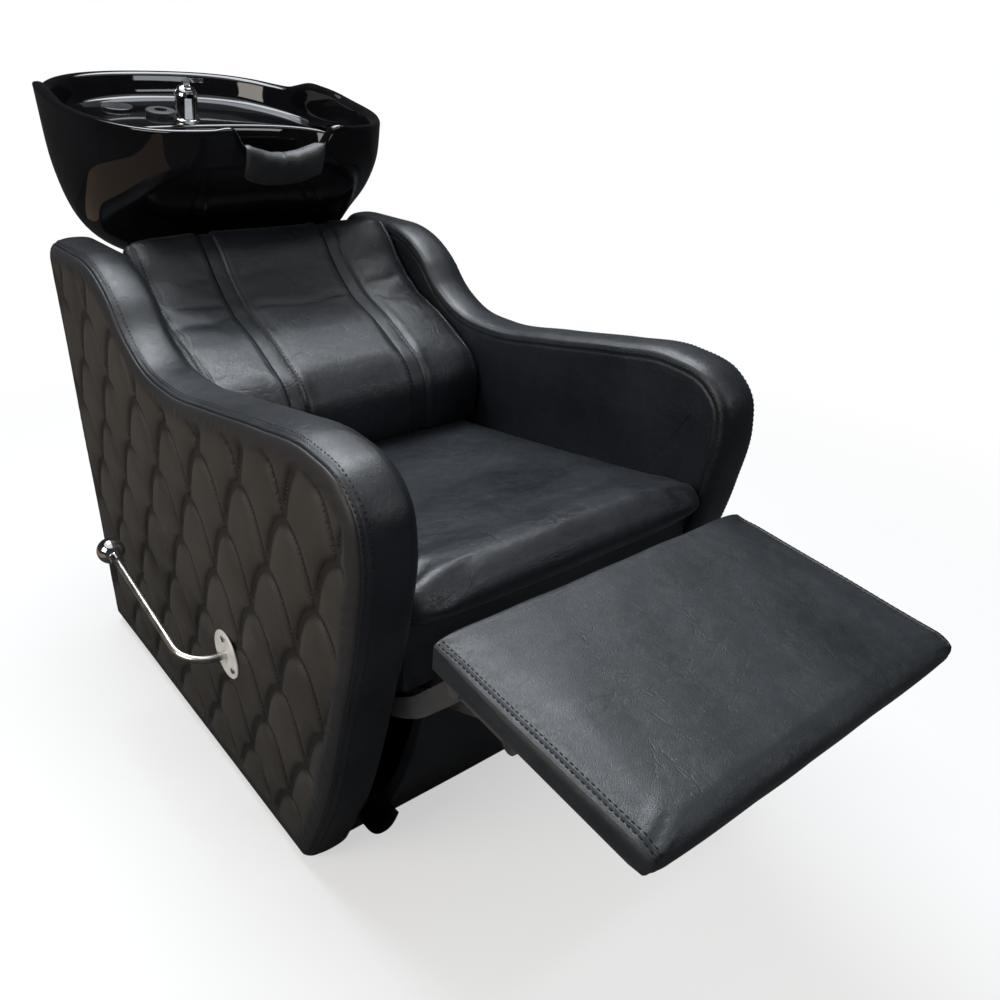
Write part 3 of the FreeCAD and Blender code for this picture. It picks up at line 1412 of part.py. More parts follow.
def tap_pin():
    half = TAP_CAP_RADIUS * TAP_PIN_share
    return deck_turn(bar_x(-half, half, TAP_PLACE, tap_pin_height(), TAP_PIN_RADIUS))


def tap_lever():
    """Knuckle between the ears and a leaf-shaped handle that reaches over the bowl."""
    z = tap_pin_height()
    knuckle = bar_x(-TAP_EAR, TAP_EAR, TAP_PLACE, z, TAP_CAP_HEIGHT / 2 - 2 * RUN_GAP)
    top = z + TAP_CAP_HEIGHT / 2
    neck_top = top + TAP_LEVER_THICKNESS / 2
    neck = block(-TAP_EAR, TAP_EAR, TAP_PLACE - TAP_EAR, TAP_PLACE + TAP_EAR, z, neck_top)
    half = TAP_LEVER_WIDTH / 2
    rear = TAP_PLACE + half
    front = TAP_PLACE - TAP_LEVER_LENGTH
    outline = [(0.0, front), (half, TAP_PLACE - TAP_LEVER_LENGTH / 3), (0.0, rear)]
    place = at_z(top)
    right = Part.Arc(place(outline[0]), place(outline[1]), place(outline[2])).toShape()
    left_mid = (-outline[1][0], outline[1][1])
    left = Part.Arc(place(outline[2]), place(left_mid), place(outline[0])).toShape()
    leaf = Part.Face(Part.Wire([right, left])).extrude(Vector(0, 0, TAP_LEVER_THICKNESS))
    leaf.rotate(Vector(0, TAP_PLACE, top), Vector(1, 0, 0), -TAP_LEVER_RISE)
    leaf.translate(Vector(0, 0, TAP_LEVER_THICKNESS / 3))
    lever = joined([knuckle, neck, leaf])
    return deck_turn(lever.cut(bar_x(-HALF, HALF, TAP_PLACE, z, TAP_PIN_RADIUS + RUN_GAP)))


def hose_ring():
    """Raised rubber ring round the hole where a hand shower's hose would pass."""
    ring = bar_z(0, RING_HEIGHT, -RING_PLACE_X, RING_PLACE_Y, RING_RADIUS)
    ring = ring.makeFillet(RING_HEIGHT / 3, upper_edges(ring, RING_HEIGHT))
    sleeve = bar_z(-BASIN_WALL - FITTING_TAIL, 0, -RING_PLACE_X, RING_PLACE_Y, FITTING_STEM_RADIUS)
    bore = bar_z(-BASIN_HEIGHT, BASIN_HEIGHT, -RING_PLACE_X, RING_PLACE_Y, RING_HOLE_RADIUS)
    return deck_turn(ring.fuse(sleeve).cut(bore))


def hole_cap():
    cap = bar_z(0, CAP_HEIGHT, -CAP_PLACE_X, CAP_PLACE_Y, CAP_RADIUS)
    cap = cap.makeFillet(CAP_HEIGHT / 2, upper_edges(cap, CAP_HEIGHT))
    return deck_turn(cap.fuse(bar_z(-BASIN_WALL, 0, -CAP_PLACE_X, CAP_PLACE_Y, FITTING_STEM_RADIUS)))


# The whole list of nodes

def all_nodes():
    right_frame = side_frame()
    nodes = {
        "side_frame_right": right_frame,
        "side_frame_left": mirrored(right_frame),
        "arm_pad_right": arm_pad(False),
        "arm_pad_left": mirrored(arm_pad(True)),
        "quilted_panel_right": quilted_panel(False),
        "quilted_panel_left": mirrored(quilted_panel(True)),
        "front_rail": front_rail(),
        "rear_rail": rear_rail(),
        "rear_top_rail": rear_top_rail(),
        "rear_panel": rear_panel(),
        "kick_panel": kick_panel(),
        "front_apron": front_apron(),
        "feet": group([both_sides(s) for s in feet()]),
        "seat_board": seat_board(),
        "seat_bearers": both_sides(seat_bearer()),
        "seat_cushion": seat_cushion(),
        "backrest_board": backrest_board(),
        "backrest_bearers": both_sides(backrest_bearer()),
        "backrest_pad": backrest_pad(),
        "hinge_arm_right": hinge_arm(),
        "hinge_arm_left": mirrored(hinge_arm()),
        "hinge_standoffs": group([both_sides(s) for s in hinge_standoffs()]),
        "hinge_bolts": group([both_sides(s) for s in hinge_bolts()]),
        "torque_shaft": torque_shaft(),
        "shaft_bushes": both_sides(shaft_bush()),
        "shaft_collars": both_sides(shaft_collar()),
        "cranks": both_sides(crank()),
        "crank_pins": both_sides(crank_pin()),
        "strut_right": strut(),
        "strut_left": mirrored(strut()),
        "leg_rest_brackets": both_sides(leg_rest_bracket()),
        "hinge_pivots": both_sides(hinge_pivot()),
        "strut_pivots": both_sides(strut_pivot()),
        "bracket_screws": group([both_sides(s) for s in bracket_screws()]),
        "leg_rest_board": leg_rest_board(),
        "leg_rest_pad": leg_rest_pad(),
        "lever_rod": lever_rod(),
        "lever_knob": lever_knob(),
        "escutcheon": mirrored(escutcheon()),
        "escutcheon_screws": group([mirrored(s) for s in plate_screws()]),
        "basin_stand": basin_stand(),
        "stand_bolts": group([both_sides(s) for s in stand_bolts()]),
        "basin_cradle": basin_cradle(),
        "cradle_pads": group(cradle_pads()),
        "cradle_bolts": group(cradle_bolts()),
        "tilt_pins": both_sides(tilt_pin()),
        "tilt_nuts": both_sides(tilt_nut()),
        "basin": basin(),
        "neck_rest": neck_rest(),
        "drain_strainer": drain_strainer(),
        "drain_tailpiece": drain_tailpiece(),
        "drain_nut": drain_nut(),
        "tap_base": tap_base(),
        "tap_nut": tap_nut(),
        "tap_body": tap_body(),
        "tap_pin": tap_pin(),
        "tap_lever": tap_lever(),
        "hose_ring": hose_ring(),
        "hole_cap": hole_cap(),
    }
    return nodes


def main():
    os.makedirs("parts", exist_ok=True)
    nodes = all_nodes()
    for name, shape in nodes.items():
        placed = shape.copy()
        placed.translate(-MIDDLE)
        placed.exportStep("parts/" + name + ".step")
        print("%-22s solids %2d valid %s volume %9.0f" % (
            name, len(placed.Solids), placed.isValid(), placed.Volume))


main()
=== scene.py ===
# %% [markdown]
# # A hair washing bed
# The CAD frame holds the sizes, the joints and the ironwork. Here it is dressed: leather,
# quilting, stitching, glazed ceramic and metal. Each cell makes one piece or one finish.

# %% Tools
import math

import bmesh
import bpy
import numpy as np
from mathutils import Matrix, Vector
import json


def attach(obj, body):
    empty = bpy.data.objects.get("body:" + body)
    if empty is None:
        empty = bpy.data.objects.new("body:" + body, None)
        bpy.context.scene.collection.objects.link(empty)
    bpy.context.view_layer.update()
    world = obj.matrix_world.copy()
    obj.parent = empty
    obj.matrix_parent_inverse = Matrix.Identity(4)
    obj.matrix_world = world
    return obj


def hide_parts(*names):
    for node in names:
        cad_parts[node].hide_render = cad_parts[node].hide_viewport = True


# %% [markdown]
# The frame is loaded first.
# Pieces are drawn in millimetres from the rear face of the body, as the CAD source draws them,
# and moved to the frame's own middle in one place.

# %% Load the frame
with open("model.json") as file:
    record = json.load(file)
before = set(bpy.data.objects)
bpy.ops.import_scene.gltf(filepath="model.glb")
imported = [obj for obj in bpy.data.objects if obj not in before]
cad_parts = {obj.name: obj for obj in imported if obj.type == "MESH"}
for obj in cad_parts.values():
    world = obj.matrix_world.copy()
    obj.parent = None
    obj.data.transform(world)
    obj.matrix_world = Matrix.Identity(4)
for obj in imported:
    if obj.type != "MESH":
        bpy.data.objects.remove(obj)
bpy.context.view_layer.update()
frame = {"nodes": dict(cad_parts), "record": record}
RECORD = frame["record"]
SLOT_OF_NODE = {part["node"]: part["material_slot"] for part in RECORD["subparts"]}
MIDDLE = np.array((-40.75, -516.5, 0.0))


def to_frame(points):
    """Millimetres to metres in the frame: take the middle away, then divide by a thousand."""
    return (np.asarray(points, float) - MIDDLE) / 1000.0


def placed(name, data):
    """A mesh, lamp or camera as an object in the scene."""
    obj = bpy.data.objects.new(name, data)
    bpy.context.collection.objects.link(obj)
    return obj


# %% [markdown]
# The camera was worked out from straight edges and known right angles in the photograph. It is
# made before anything else, so that every later render shows the same frame.

# %% Camera
yaw, pitch, roll = math.radians(39.752), math.radians(26.154), math.radians(1.592)
forward = Vector((math.sin(yaw) * math.cos(pitch), math.cos(yaw) * math.cos(pitch), -math.sin(pitch)))
right = Vector((math.cos(yaw), -math.sin(yaw), 0.0))
up = right.cross(forward)
right, up = math.cos(roll) * right + math.sin(roll) * up, -math.sin(roll) * right + math.cos(roll) * up
lens = bpy.data.cameras.new("camera")
lens.lens, lens.sensor_width = 32.296, 36.0
camera = placed("camera", lens)
turn = Matrix((right, up, -forward)).transposed().to_4x4()
camera.matrix_world = Matrix.Translation((-0.66961, -1.17561, 1.05192)) @ turn
bpy.context.scene.camera = camera

# %% [markdown]
# Most pieces are an outline in the side view, carried across the chair. The outline is a chain
# of cubics whose direction at each point is that of the circle through its neighbours, the same
# rule as in the CAD source, so both follow the same line.


# %% Smooth lines
def travelled(line):
    """Length from the start of a line to each of its points: the sum of the steps before it."""
    return np.concatenate(([0.0], np.cumsum(np.linalg.norm(np.diff(line, axis=0), axis=1))))


def read_at(along, size, values):
    """Values given at the lengths size, read on straight lines at the lengths along."""
    return np.stack([np.interp(along, size, values[:, k]) for k in range(values.shape[1])], -1)


def smooth_line(points, fixed=None, step=4.0, fine=90):
    """Cubics through the points, sampled at equal steps; returns the points and unit directions."""
    p = np.asarray(points, float)
    chord = np.linalg.norm(np.diff(p, axis=0), axis=1)[:, None]
    edge = np.diff(p, axis=0)
    inner = edge[:-1] * chord[1:] / chord[:-1] + edge[1:] * chord[:-1] / chord[1:]
    ways = np.vstack((edge[:1], inner, edge[-1:]))
    for index, way in (fixed or {}).items():
        ways[index] = way
    ways /= np.linalg.norm(ways, axis=1)[:, None]
    t = np.linspace(0, 1, fine, endpoint=False)[None, :, None]
    a, b = p[:-1, None], p[1:, None]
    m, n = (ways[:-1] * chord)[:, None], (ways[1:] * chord)[:, None]
    line = ((2 * t**3 - 3 * t**2 + 1) * a + (t**3 - 2 * t**2 + t) * m
            + (3 * t**2 - 2 * t**3) * b + (t**3 - t**2) * n)
    line = np.vstack((line.reshape(-1, p.shape[1]), p[-1:]))
    return even(line, step)


def even(line, step):
    """A line sampled again at equal steps of its own length, with its unit directions."""
    size = travelled(line)
    along = np.linspace(0, size[-1], max(int(round(size[-1] / step)), 2) + 1)
    out = read_at(along, size, line)
    way = np.gradient(out, axis=0)
    return out, way / np.linalg.norm(way, axis=1)[:, None]


def smoothstep(low, high, value):
    """0 below low, 1 above high, an S curve 3t^2 - 2t^3 between."""
    t = np.clip((value - low) / (high - low), 0.0, 1.0)
    return t * t * (3 - 2 * t)


def bell(value, middle, width):
    """1 at the middle, falling off as exp(-((value - middle) / width)^2)."""
    return np.exp(-(((value - middle) / width) ** 2))


# %% [markdown]
# A surface is a grid of points, worked out as whole arrays. Several grids that share edges make
# one closed skin: doubles are merged, then the faces are turned outwards.


# %% Grids to objects
def grid_faces(rows, columns, start):
    """Quads of a grid: each point with its right neighbour and the two in the next row."""
    r, c = np.meshgrid(np.arange(rows - 1), np.arange(columns - 1), indexing="ij")
    a = r * columns + c
    return np.stack((a, a + 1, a + columns + 1, a + columns), -1).reshape(-1, 4) + start


def carried(x, flat):
    """Points (y, z) of the side view, placed across the chair at x."""
    return np.concatenate((np.broadcast_to(x, (*flat.shape[:-1], 1)), flat), -1)


def end_loops(grid):
    """The first and the last ring of a closed grid, each without its repeated point."""
    return [grid[0, :-1], grid[-1, :-1]]


def turned_out(mesh, merge=0.0):
    """Points nearer than a distance are merged, then all faces are turned outwards."""
    work = bmesh.new()
    work.from_mesh(mesh)
    if merge:
        bmesh.ops.remove_doubles(work, verts=work.verts, dist=merge)
    bmesh.ops.recalc_face_normals(work, faces=work.faces)
    work.to_mesh(mesh)
    work.free()


def dressed(name, mesh, finish):
    """A mesh as a smooth object in its finish."""
    mesh.polygons.foreach_set("use_smooth", np.ones(len(mesh.polygons), bool))
    mesh.materials.append(FINISH[finish])
    return placed(name, mesh)


def make_piece(name, grids, finish, body, stands_for=(), caps=(), marks=None):
    """One object from grids (rows x columns x 3, mm) and flat caps (loops of points)."""
    points, faces, start = [], [], 0
    for grid in grids:
        points.append(grid.reshape(-1, 3))
        faces += grid_faces(grid.shape[0], grid.shape[1], start).tolist()
        start += grid.shape[0] * grid.shape[1]
    for loop in caps:
        points.append(loop)
        faces.append(list(range(start, start + len(loop))))
        start += len(loop)
    mesh = bpy.data.meshes.new(name)
    mesh.from_pydata(to_frame(np.concatenate(points)).tolist(), [], faces)
    for label, values in (marks or {}).items():
        layer = mesh.attributes.new(label, "FLOAT", "POINT")
        layer.data.foreach_set("value", np.asarray(values, np.float32).ravel())
    turned_out(mesh, merge=2e-5)
    obj = dressed(name, mesh, finish)
    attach(obj, body)
    if stands_for:
        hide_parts(*stands_for)
    print(f"{name}: {len(mesh.polygons)} faces")
    return obj


def grid_normals(grid):
    """Unit normals of a grid: the cross product of its two directions of travel."""
    normal = np.cross(np.gradient(grid, axis=0), np.gradient(grid, axis=1))
    return normal / np.maximum(np.linalg.norm(normal, axis=-1, keepdims=True), 1e-9)


# %% [markdown]
# Stitches are real thread: short six-sided bars that bow up in the middle and dive into the
# leather at both ends. They are repeated along a path by adding whole arrays.


# %% Stitches
def stitches(name, paths, body, pitch=7.2, length=5.2, radius=0.78):
    """Threads along paths (points, normals): a bar bowed by a parabola at each step."""
    reach = np.array((-0.5, -0.3, 0.0, 0.3, 0.5))
    width = np.array((0.25, 0.9, 1.0, 0.9, 0.25)) * radius
    lift = 0.55 * radius * (1 - 6.0 * reach**2)
    angle = np.arange(6) * math.pi / 3
    verts = []
    for line, normal in paths:
        size = travelled(line)
        at = (np.arange(int(size[-1] / pitch)) + 0.5) * pitch
        centre, out = read_at(at, size, line), read_at(at, size, normal)
        ahead = read_at(at + 1, size, line) - read_at(at - 1, size, line)
        ahead /= np.linalg.norm(ahead, axis=1)[:, None]
        out -= (out * ahead).sum(1)[:, None] * ahead
        out /= np.linalg.norm(out, axis=1)[:, None]
        side = np.cross(ahead, out)
        ring = (centre[:, None, None] + ahead[:, None, None] * (reach * length)[None, :, None, None]
                + out[:, None, None] * (lift[:, None] + width[:, None] * np.sin(angle))[None, :, :, None]
                + side[:, None, None] * (width[:, None] * np.cos(angle))[None, :, :, None])
        verts.append(ring.reshape(-1, 30, 3))
    verts = np.concatenate(verts)
    k, j = np.meshgrid(np.arange(4), np.arange(6), indexing="ij")
    here, beside = k * 6 + j, k * 6 + (j + 1) % 6
    bar = np.stack((here, beside, beside + 6, here + 6), -1).reshape(-1, 4)
    ends = np.array(((0, 1, 2, 3), (0, 3, 4, 5), (24, 27, 26, 25), (24, 29, 28, 27)))
    bar = np.concatenate((bar, ends))
    faces = (bar[None] + (np.arange(len(verts)) * 30)[:, None, None]).reshape(-1, 4)
    mesh = bpy.data.meshes.new(name)
    mesh.from_pydata(to_frame(verts.reshape(-1, 3)).tolist(), [], faces.tolist())
    turned_out(mesh)
    obj = dressed(name, mesh, "thread")
    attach(obj, body)
    print(f"{name}: {len(verts)} stitches")


def facing_out(normal, inward):
    """The normals, turned round where they point the inward way."""
    return np.where((normal * inward).sum(-1, keepdims=True) > 0, -normal, normal)


def seam_path(grid, index, trim):
    """One column of a grid as a path without its ends, with the normals of the surface there."""
    normal = grid_normals(grid)[:, index]
    return grid[trim:-trim, index], normal[trim:-trim]


# %% [markdown]
# Effects that several finishes share are node groups. They only put out heights, masks and
# colours that change over the surface. The first one is leather grain:
# fine pebbles from a cell pattern, soft clouds of wear, and long fine creases.


# %% Group helpers
def new_group(name, inputs, outputs):
    """An empty shader group with float or vector sockets, its input and its output node."""
    group = bpy.data.node_groups.new(name, "ShaderNodeTree")
    for label, kind, value in inputs:
        socket = group.interface.new_socket(label, in_out="INPUT", socket_type=kind)
        if value is not None:
            socket.default_value = value
    for label, kind in outputs:
        group.interface.new_socket(label, in_out="OUTPUT", socket_type=kind)
    return group, group.nodes.new("NodeGroupInput"), group.nodes.new("NodeGroupOutput")


def node(tree, kind, links=(), **values):
    """A node with its settings; links are pairs of an input and the socket that feeds it."""
    made = tree.nodes.new(kind)
    for label, value in values.items():
        setattr(made, label, value)
    for socket, source in links:
        if hasattr(source, "is_output"):
            tree.links.new(source, made.inputs[socket])
        else:
            made.inputs[socket].default_value = source
    return made


def scaled(tree, vector, factor):
    """The vector times one factor, for patterns of a chosen size."""
    return node(tree, "ShaderNodeVectorMath", [(0, vector), (3, factor)], operation="SCALE").outputs[0]


def remap(tree, value, low, high, to_low=0.0, to_high=1.0):
    """The value moved from one span to another, held at both ends."""
    links = [(0, value), (1, low), (2, high), (3, to_low), (4, to_high)]
    return node(tree, "ShaderNodeMapRange", links).outputs[0]


def stretched(tree, vector, factors):
    """The vector times three factors, for patterns that run one way."""
    return node(tree, "ShaderNodeVectorMath", [(0, vector), (1, factors)], operation="MULTIPLY").outputs[0]


def noise(tree, vector, scale, **more):
    """Cloudy noise from 0 to 1; the further settings are named as on the node."""
    links = [("Vector", vector), ("Scale", scale), *more.items()]
    return node(tree, "ShaderNodeTexNoise", links).outputs["Fac"]


def maths(tree, operation, a, b=0.0):
    """One operation on two values, or on the first alone."""
    return node(tree, "ShaderNodeMath", [(0, a), (1, b)], operation=operation).outputs[0]


def times(tree, a, b):
    """a times b."""
    return maths(tree, "MULTIPLY", a, b)


def gap(tree, a, b):
    """How far a is from b, without its sign."""
    return maths(tree, "ABSOLUTE", maths(tree, "SUBTRACT", a, b))


# %% Leather grain group
leather_group, gin, gout = new_group(
    "leather_grain",
    [("Vector", "NodeSocketVector", None), ("Pebbles", "NodeSocketFloat", 520.0),
     ("Creases", "NodeSocketFloat", 0.5), ("Crease size", "NodeSocketFloat", 26.0)],
    [("Height", "NodeSocketFloat"), ("Clouds", "NodeSocketFloat"), ("Crease", "NodeSocketFloat")],
)
tree, place = leather_group, gin.outputs["Vector"]
warp = node(tree, "ShaderNodeTexNoise", [("Vector", place), ("Scale", 45.0)])
bent = scaled(tree, warp.outputs["Color"], 0.012)
moved = node(tree, "ShaderNodeVectorMath", [(0, place), (1, bent)]).outputs[0]
cells = node(tree, "ShaderNodeTexVoronoi", [("Vector", moved), ("Scale", gin.outputs["Pebbles"])],
             feature="DISTANCE_TO_EDGE")
pebble = remap(tree, cells.outputs["Distance"], 0.0, 0.22)
clouds = noise(tree, place, 7.0, Detail=4.0, Roughness=0.55)
lines = []
for way, size in (((0.0, 0.0, 0.7), (1.0, 0.28, 1.0)), ((0.4, 0.2, -0.5), (0.3, 1.0, 1.0))):
    turned = node(tree, "ShaderNodeMapping",
                  [("Vector", moved), ("Rotation", way), ("Scale", size)]).outputs[0]
    folds = noise(tree, turned, gin.outputs["Crease size"], Detail=3.0, Roughness=0.5, Distortion=0.25)
    line = remap(tree, gap(tree, folds, 0.5), 0.0, 0.022, 1.0, 0.0)
    broken = noise(tree, turned, 31.0, Detail=2.0)
    lines.append(times(tree, line, remap(tree, broken, 0.48, 0.68)))
crease = times(tree, maths(tree, "MAXIMUM", *lines), gin.outputs["Creases"])
height = maths(tree, "SUBTRACT", times(tree, pebble, 0.35), crease)
for label, value in (("Height", height), ("Clouds", clouds), ("Crease", crease)):
    tree.links.new(value, gout.inputs[label])

# %% [markdown]
# Brushed and turned metal share fine scratches, and every finish can gather a little dust on
# what faces up. Both are groups too.

# %% Scratch and dust groups
scratch_group, gin, gout = new_group(
    "fine_scratches",
    [("Vector", "NodeSocketVector", None), ("Stretch", "NodeSocketVector", (60.0, 900.0, 900.0))],
    [("Height", "NodeSocketFloat"), ("Smudge", "NodeSocketFloat")],
)
tree, place = scratch_group, gin.outputs["Vector"]
pulled = stretched(tree, place, gin.outputs["Stretch"])
tree.links.new(noise(tree, pulled, 1.0, Detail=2.0), gout.inputs["Height"])
tree.links.new(noise(tree, place, 38.0, Detail=4.0), gout.inputs["Smudge"])

dust_group, gin, gout = new_group(
    "settled_dust",
    [("Vector", "NodeSocketVector", None), ("Amount", "NodeSocketFloat", 0.2)],
    [("Mask", "NodeSocketFloat")],
)
tree = dust_group
shape = tree.nodes.new("ShaderNodeNewGeometry")
upward = node(tree, "ShaderNodeSeparateXYZ", [(0, shape.outputs["Normal"])])
speck = noise(tree, gin.outputs["Vector"], 60.0, Detail=6.0, Roughness=0.7)
mask = times(tree, remap(tree, upward.outputs["Z"], 0.2, 1.0), remap(tree, speck, 0.42, 0.75))
tree.links.new(times(tree, mask, gin.outputs["Amount"]), gout.inputs["Mask"])

# %% [markdown]
# A finish starts from the Principled shader. Numbers that are the same all over are set on the
# shader's own sockets; what changes over the surface comes through links.


# %% Finishes: helpers
FINISH = {}


def new_finish(name, **constants):
    """A material with its shader's constant sockets set, and its object coordinates."""
    made = bpy.data.materials.new(name)
    made.use_nodes = True
    tree = made.node_tree
    shader = tree.nodes["Principled BSDF"]
    for label, value in constants.items():
        shader.inputs[label.replace("_", " ")].default_value = value
    place = tree.nodes.new("ShaderNodeTexCoord").outputs["Object"]
    FINISH[name] = made
    return tree, shader, place


def use_group(tree, group, **links):
    """A group placed in a finish, with its inputs linked or set."""
    made = tree.nodes.new("ShaderNodeGroup")
    made.node_tree = group
    for label, source in links.items():
        socket = made.inputs[label.replace("_", " ")]
        if hasattr(source, "is_output"):
            tree.links.new(source, socket)
        else:
            socket.default_value = source
    return made


def mixed(tree, share, a, b):
    """A colour between a and b by a share; each is a socket or three numbers."""
    links = [(0, share)] + [(k, (*c, 1) if isinstance(c, tuple) else c) for k, c in ((6, a), (7, b))]
    return node(tree, "ShaderNodeMix", links, data_type="RGBA").outputs[2]


def paint(tree, shader, colour, rough=None):
    """The base colour and, where it changes over the surface, the roughness."""
    tree.links.new(colour, shader.inputs["Base Color"])
    if rough is not None:
        tree.links.new(rough, shader.inputs["Roughness"])


def bump(tree, shader, height, distance, strength=1.0, under=None):
    """A bump from a height, laid over an earlier one if there is one."""
    links = [("Height", height), ("Distance", distance), ("Strength", strength)]
    if under is not None:
        links.append(("Normal", under))
    made = node(tree, "ShaderNodeBump", links)
    tree.links.new(made.outputs[0], shader.inputs["Normal"])
    return made.outputs[0]


# %% [markdown]
# Upholstery leather: near black with a cool tint, a pigment coat with a soft sheen, fine pebble
# grain, cloudy roughness where hands and backs have polished it, and creases that catch light, with painted
# shade in the creases.


# %% Finishes: leathers
def leather(name, dark, light, rough, creases, crease_size, pebbles=520.0, depth=0.00016):
    """Leather between two colours by its clouds, rougher in the dull clouds, creased by the group, with
    painted shade in the creases.
    """
    tree, shader, place = new_finish(name, Specular_IOR_Level=0.5, Sheen_Weight=0.04, Sheen_Roughness=0.4)
    grain = use_group(tree, leather_group, Vector=place, Pebbles=pebbles, Creases=creases,
                      Crease_size=crease_size)
    dust = use_group(tree, dust_group, Vector=place, Amount=0.07)
    clouds = grain.outputs["Clouds"]
    base = mixed(tree, remap(tree, clouds, 0.3, 0.7), dark, light)
    # Painted shade: the colour is darkened along the creases.
    base = mixed(tree, times(tree, grain.outputs["Crease"], 0.35), base, (0.004, 0.004, 0.005))
    base = mixed(tree, dust.outputs["Mask"], base, (0.16, 0.155, 0.15))
    paint(tree, shader, base, remap(tree, clouds, 0.3, 0.72, rough - 0.05, rough + 0.09))
    bump(tree, shader, grain.outputs["Height"], depth)
    return tree, shader


leather("band_leather", (0.0042, 0.0058, 0.0088), (0.0085, 0.0112, 0.0160), 0.36, 0.45, 24.0, depth=0.0003)
leather("seat_leather", (0.0045, 0.0062, 0.0092), (0.0095, 0.0126, 0.0178), 0.32, 0.8, 26.0, depth=0.0003)
leather("rest_leather", (0.0085, 0.0112, 0.0140), (0.0170, 0.0210, 0.0250), 0.37, 0.7, 40.0, depth=0.0003)
leather("saddle_leather", (0.0130, 0.0140, 0.0155), (0.0260, 0.0275, 0.0300), 0.48, 1.0, 60.0, depth=0.0004)
print("leathers:", sorted(FINISH))

# %% [markdown]
# The quilted leather is a warmer brown-grey. Its double stitch lines are drawn from two numbers
# that the mesh carries: how far a point is from the nearest seam, and how far along it.

# %% Finishes: quilted leather
tree, shader = leather("quilt_leather", (0.0210, 0.0180, 0.0145), (0.0310, 0.0265, 0.0210), 0.50, 0.3, 22.0)
seam, along, shown = (node(tree, "ShaderNodeAttribute", attribute_name=label).outputs["Fac"]
                      for label in ("seam_distance", "seam_along", "seam_shown"))
on_line = remap(tree, gap(tree, seam, 4.4), 0.6, 1.7, 1.0, 0.0)
step = maths(tree, "FRACT", maths(tree, "DIVIDE", along, 6.5))
dash = remap(tree, gap(tree, step, 0.5), 0.30, 0.42, 1.0, 0.0)
thread = times(tree, times(tree, times(tree, on_line, dash), shown), 0.8)
# Painted shade: the colour darkens in the sunk valleys beside the scale seams.
valley_shade = times(tree, remap(tree, seam, 2.5, 11.0, 0.85, 0.0), shown)
old = shader.inputs["Base Color"].links[0].from_socket
old = mixed(tree, remap(tree, shown, 0.0, 0.75), (0.0105, 0.0105, 0.0120), old)
valley_shaded = mixed(tree, valley_shade, old, (0.0060, 0.0048, 0.0042))
paint(tree, shader, mixed(tree, thread, valley_shaded, (0.0035, 0.003, 0.003)))
under = shader.inputs["Normal"].links[0].from_socket
bump(tree, shader, maths(tree, "SUBTRACT", thread, times(tree, on_line, shown)), 0.0009, 0.9, under)

# %% Finishes: thread, ceramic, rubber and plastic
tree, shader, place = new_finish("thread", Roughness=0.55, Specular_IOR_Level=0.4)
twist = node(tree, "ShaderNodeTexWave",
             [("Vector", place), ("Scale", 700.0), ("Distortion", 2.0)]).outputs["Fac"]
paint(tree, shader, mixed(tree, twist, (0.002, 0.002, 0.0025), (0.008, 0.008, 0.009)))
bump(tree, shader, twist, 0.0002)

tree, shader, place = new_finish("black_ceramic", Specular_IOR_Level=0.5)
pour, fleck = noise(tree, place, 9.0, Detail=2.0), noise(tree, place, 420.0, Detail=2.0)
dust = use_group(tree, dust_group, Vector=place, Amount=0.015)
glaze = mixed(tree, remap(tree, pour, 0.35, 0.65), (0.0022, 0.0022, 0.0028), (0.0042, 0.0042, 0.0052))
paint(tree, shader, mixed(tree, dust.outputs["Mask"], glaze, (0.2, 0.2, 0.2)),
      remap(tree, fleck, 0.3, 0.8, 0.03, 0.075))
bump(tree, shader, pour, 0.0008, 0.5)

for name, dark, light, rough in (
    ("black_rubber", (0.008, 0.008, 0.009), (0.016, 0.016, 0.017), 0.50),
    ("black_plastic", (0.007, 0.007, 0.008), (0.014, 0.014, 0.015), 0.34),
):
    tree, shader, place = new_finish(name)
    tone = noise(tree, place, 30.0, Detail=3.0)
    paint(tree, shader, mixed(tree, tone, dark, light),
          remap(tree, tone, 0.3, 0.7, rough - 0.06, rough + 0.08))
    bump(tree, shader, noise(tree, place, 900.0, Detail=3.0), 0.00012)

# %% [markdown]
# Metals differ in their scratches: chrome is almost clean, satin steel is brushed along one
# way, zinc has a mottled grey bloom, and the black frame is powder coated with an orange peel.


# %% Finishes: metals
def metal(name, dark, light, low, high, stretch, depth):
    """Bare metal between two greys by its smudges, its roughness from low to high."""
    tree, shader, place = new_finish(name, Metallic=1.0)
    marks = use_group(tree, scratch_group, Vector=place, Stretch=stretch)
    smudge = marks.outputs["Smudge"]
    paint(tree, shader, mixed(tree, remap(tree, smudge, 0.3, 0.7), dark, light),
          remap(tree, smudge, 0.3, 0.75, low, high))
    bump(tree, shader, marks.outputs["Height"], depth)


metal("polished_chrome", (0.60, 0.61, 0.63), (0.78, 0.79, 0.80), 0.05, 0.14, (300.0, 300.0, 300.0), 0.00001)
metal("satin_steel", (0.54, 0.52, 0.49), (0.70, 0.68, 0.64), 0.24, 0.34, (500.0, 90.0, 500.0), 0.00001)
metal("plate_steel", (0.62, 0.60, 0.56), (0.78, 0.76, 0.71), 0.42, 0.55, (300.0, 300.0, 300.0), 0.00004)
FINISH["plate_steel"].node_tree.nodes["Principled BSDF"].inputs["Metallic"].default_value = 0.35
metal("zinc_steel", (0.36, 0.37, 0.38), (0.56, 0.57, 0.58), 0.28, 0.46, (240.0, 240.0, 240.0), 0.00005)

tree, shader, place = new_finish("black_steel")
peel = noise(tree, place, 520.0, Detail=2.0)
shape = tree.nodes.new("ShaderNodeNewGeometry")
rubbed = remap(tree, shape.outputs["Pointiness"], 0.56, 0.64, 0.0, 0.5)
paint(tree, shader, mixed(tree, rubbed, (0.011, 0.011, 0.012), (0.11, 0.11, 0.11)),
      remap(tree, peel, 0.3, 0.7, 0.34, 0.5))
bump(tree, shader, peel, 0.00015)

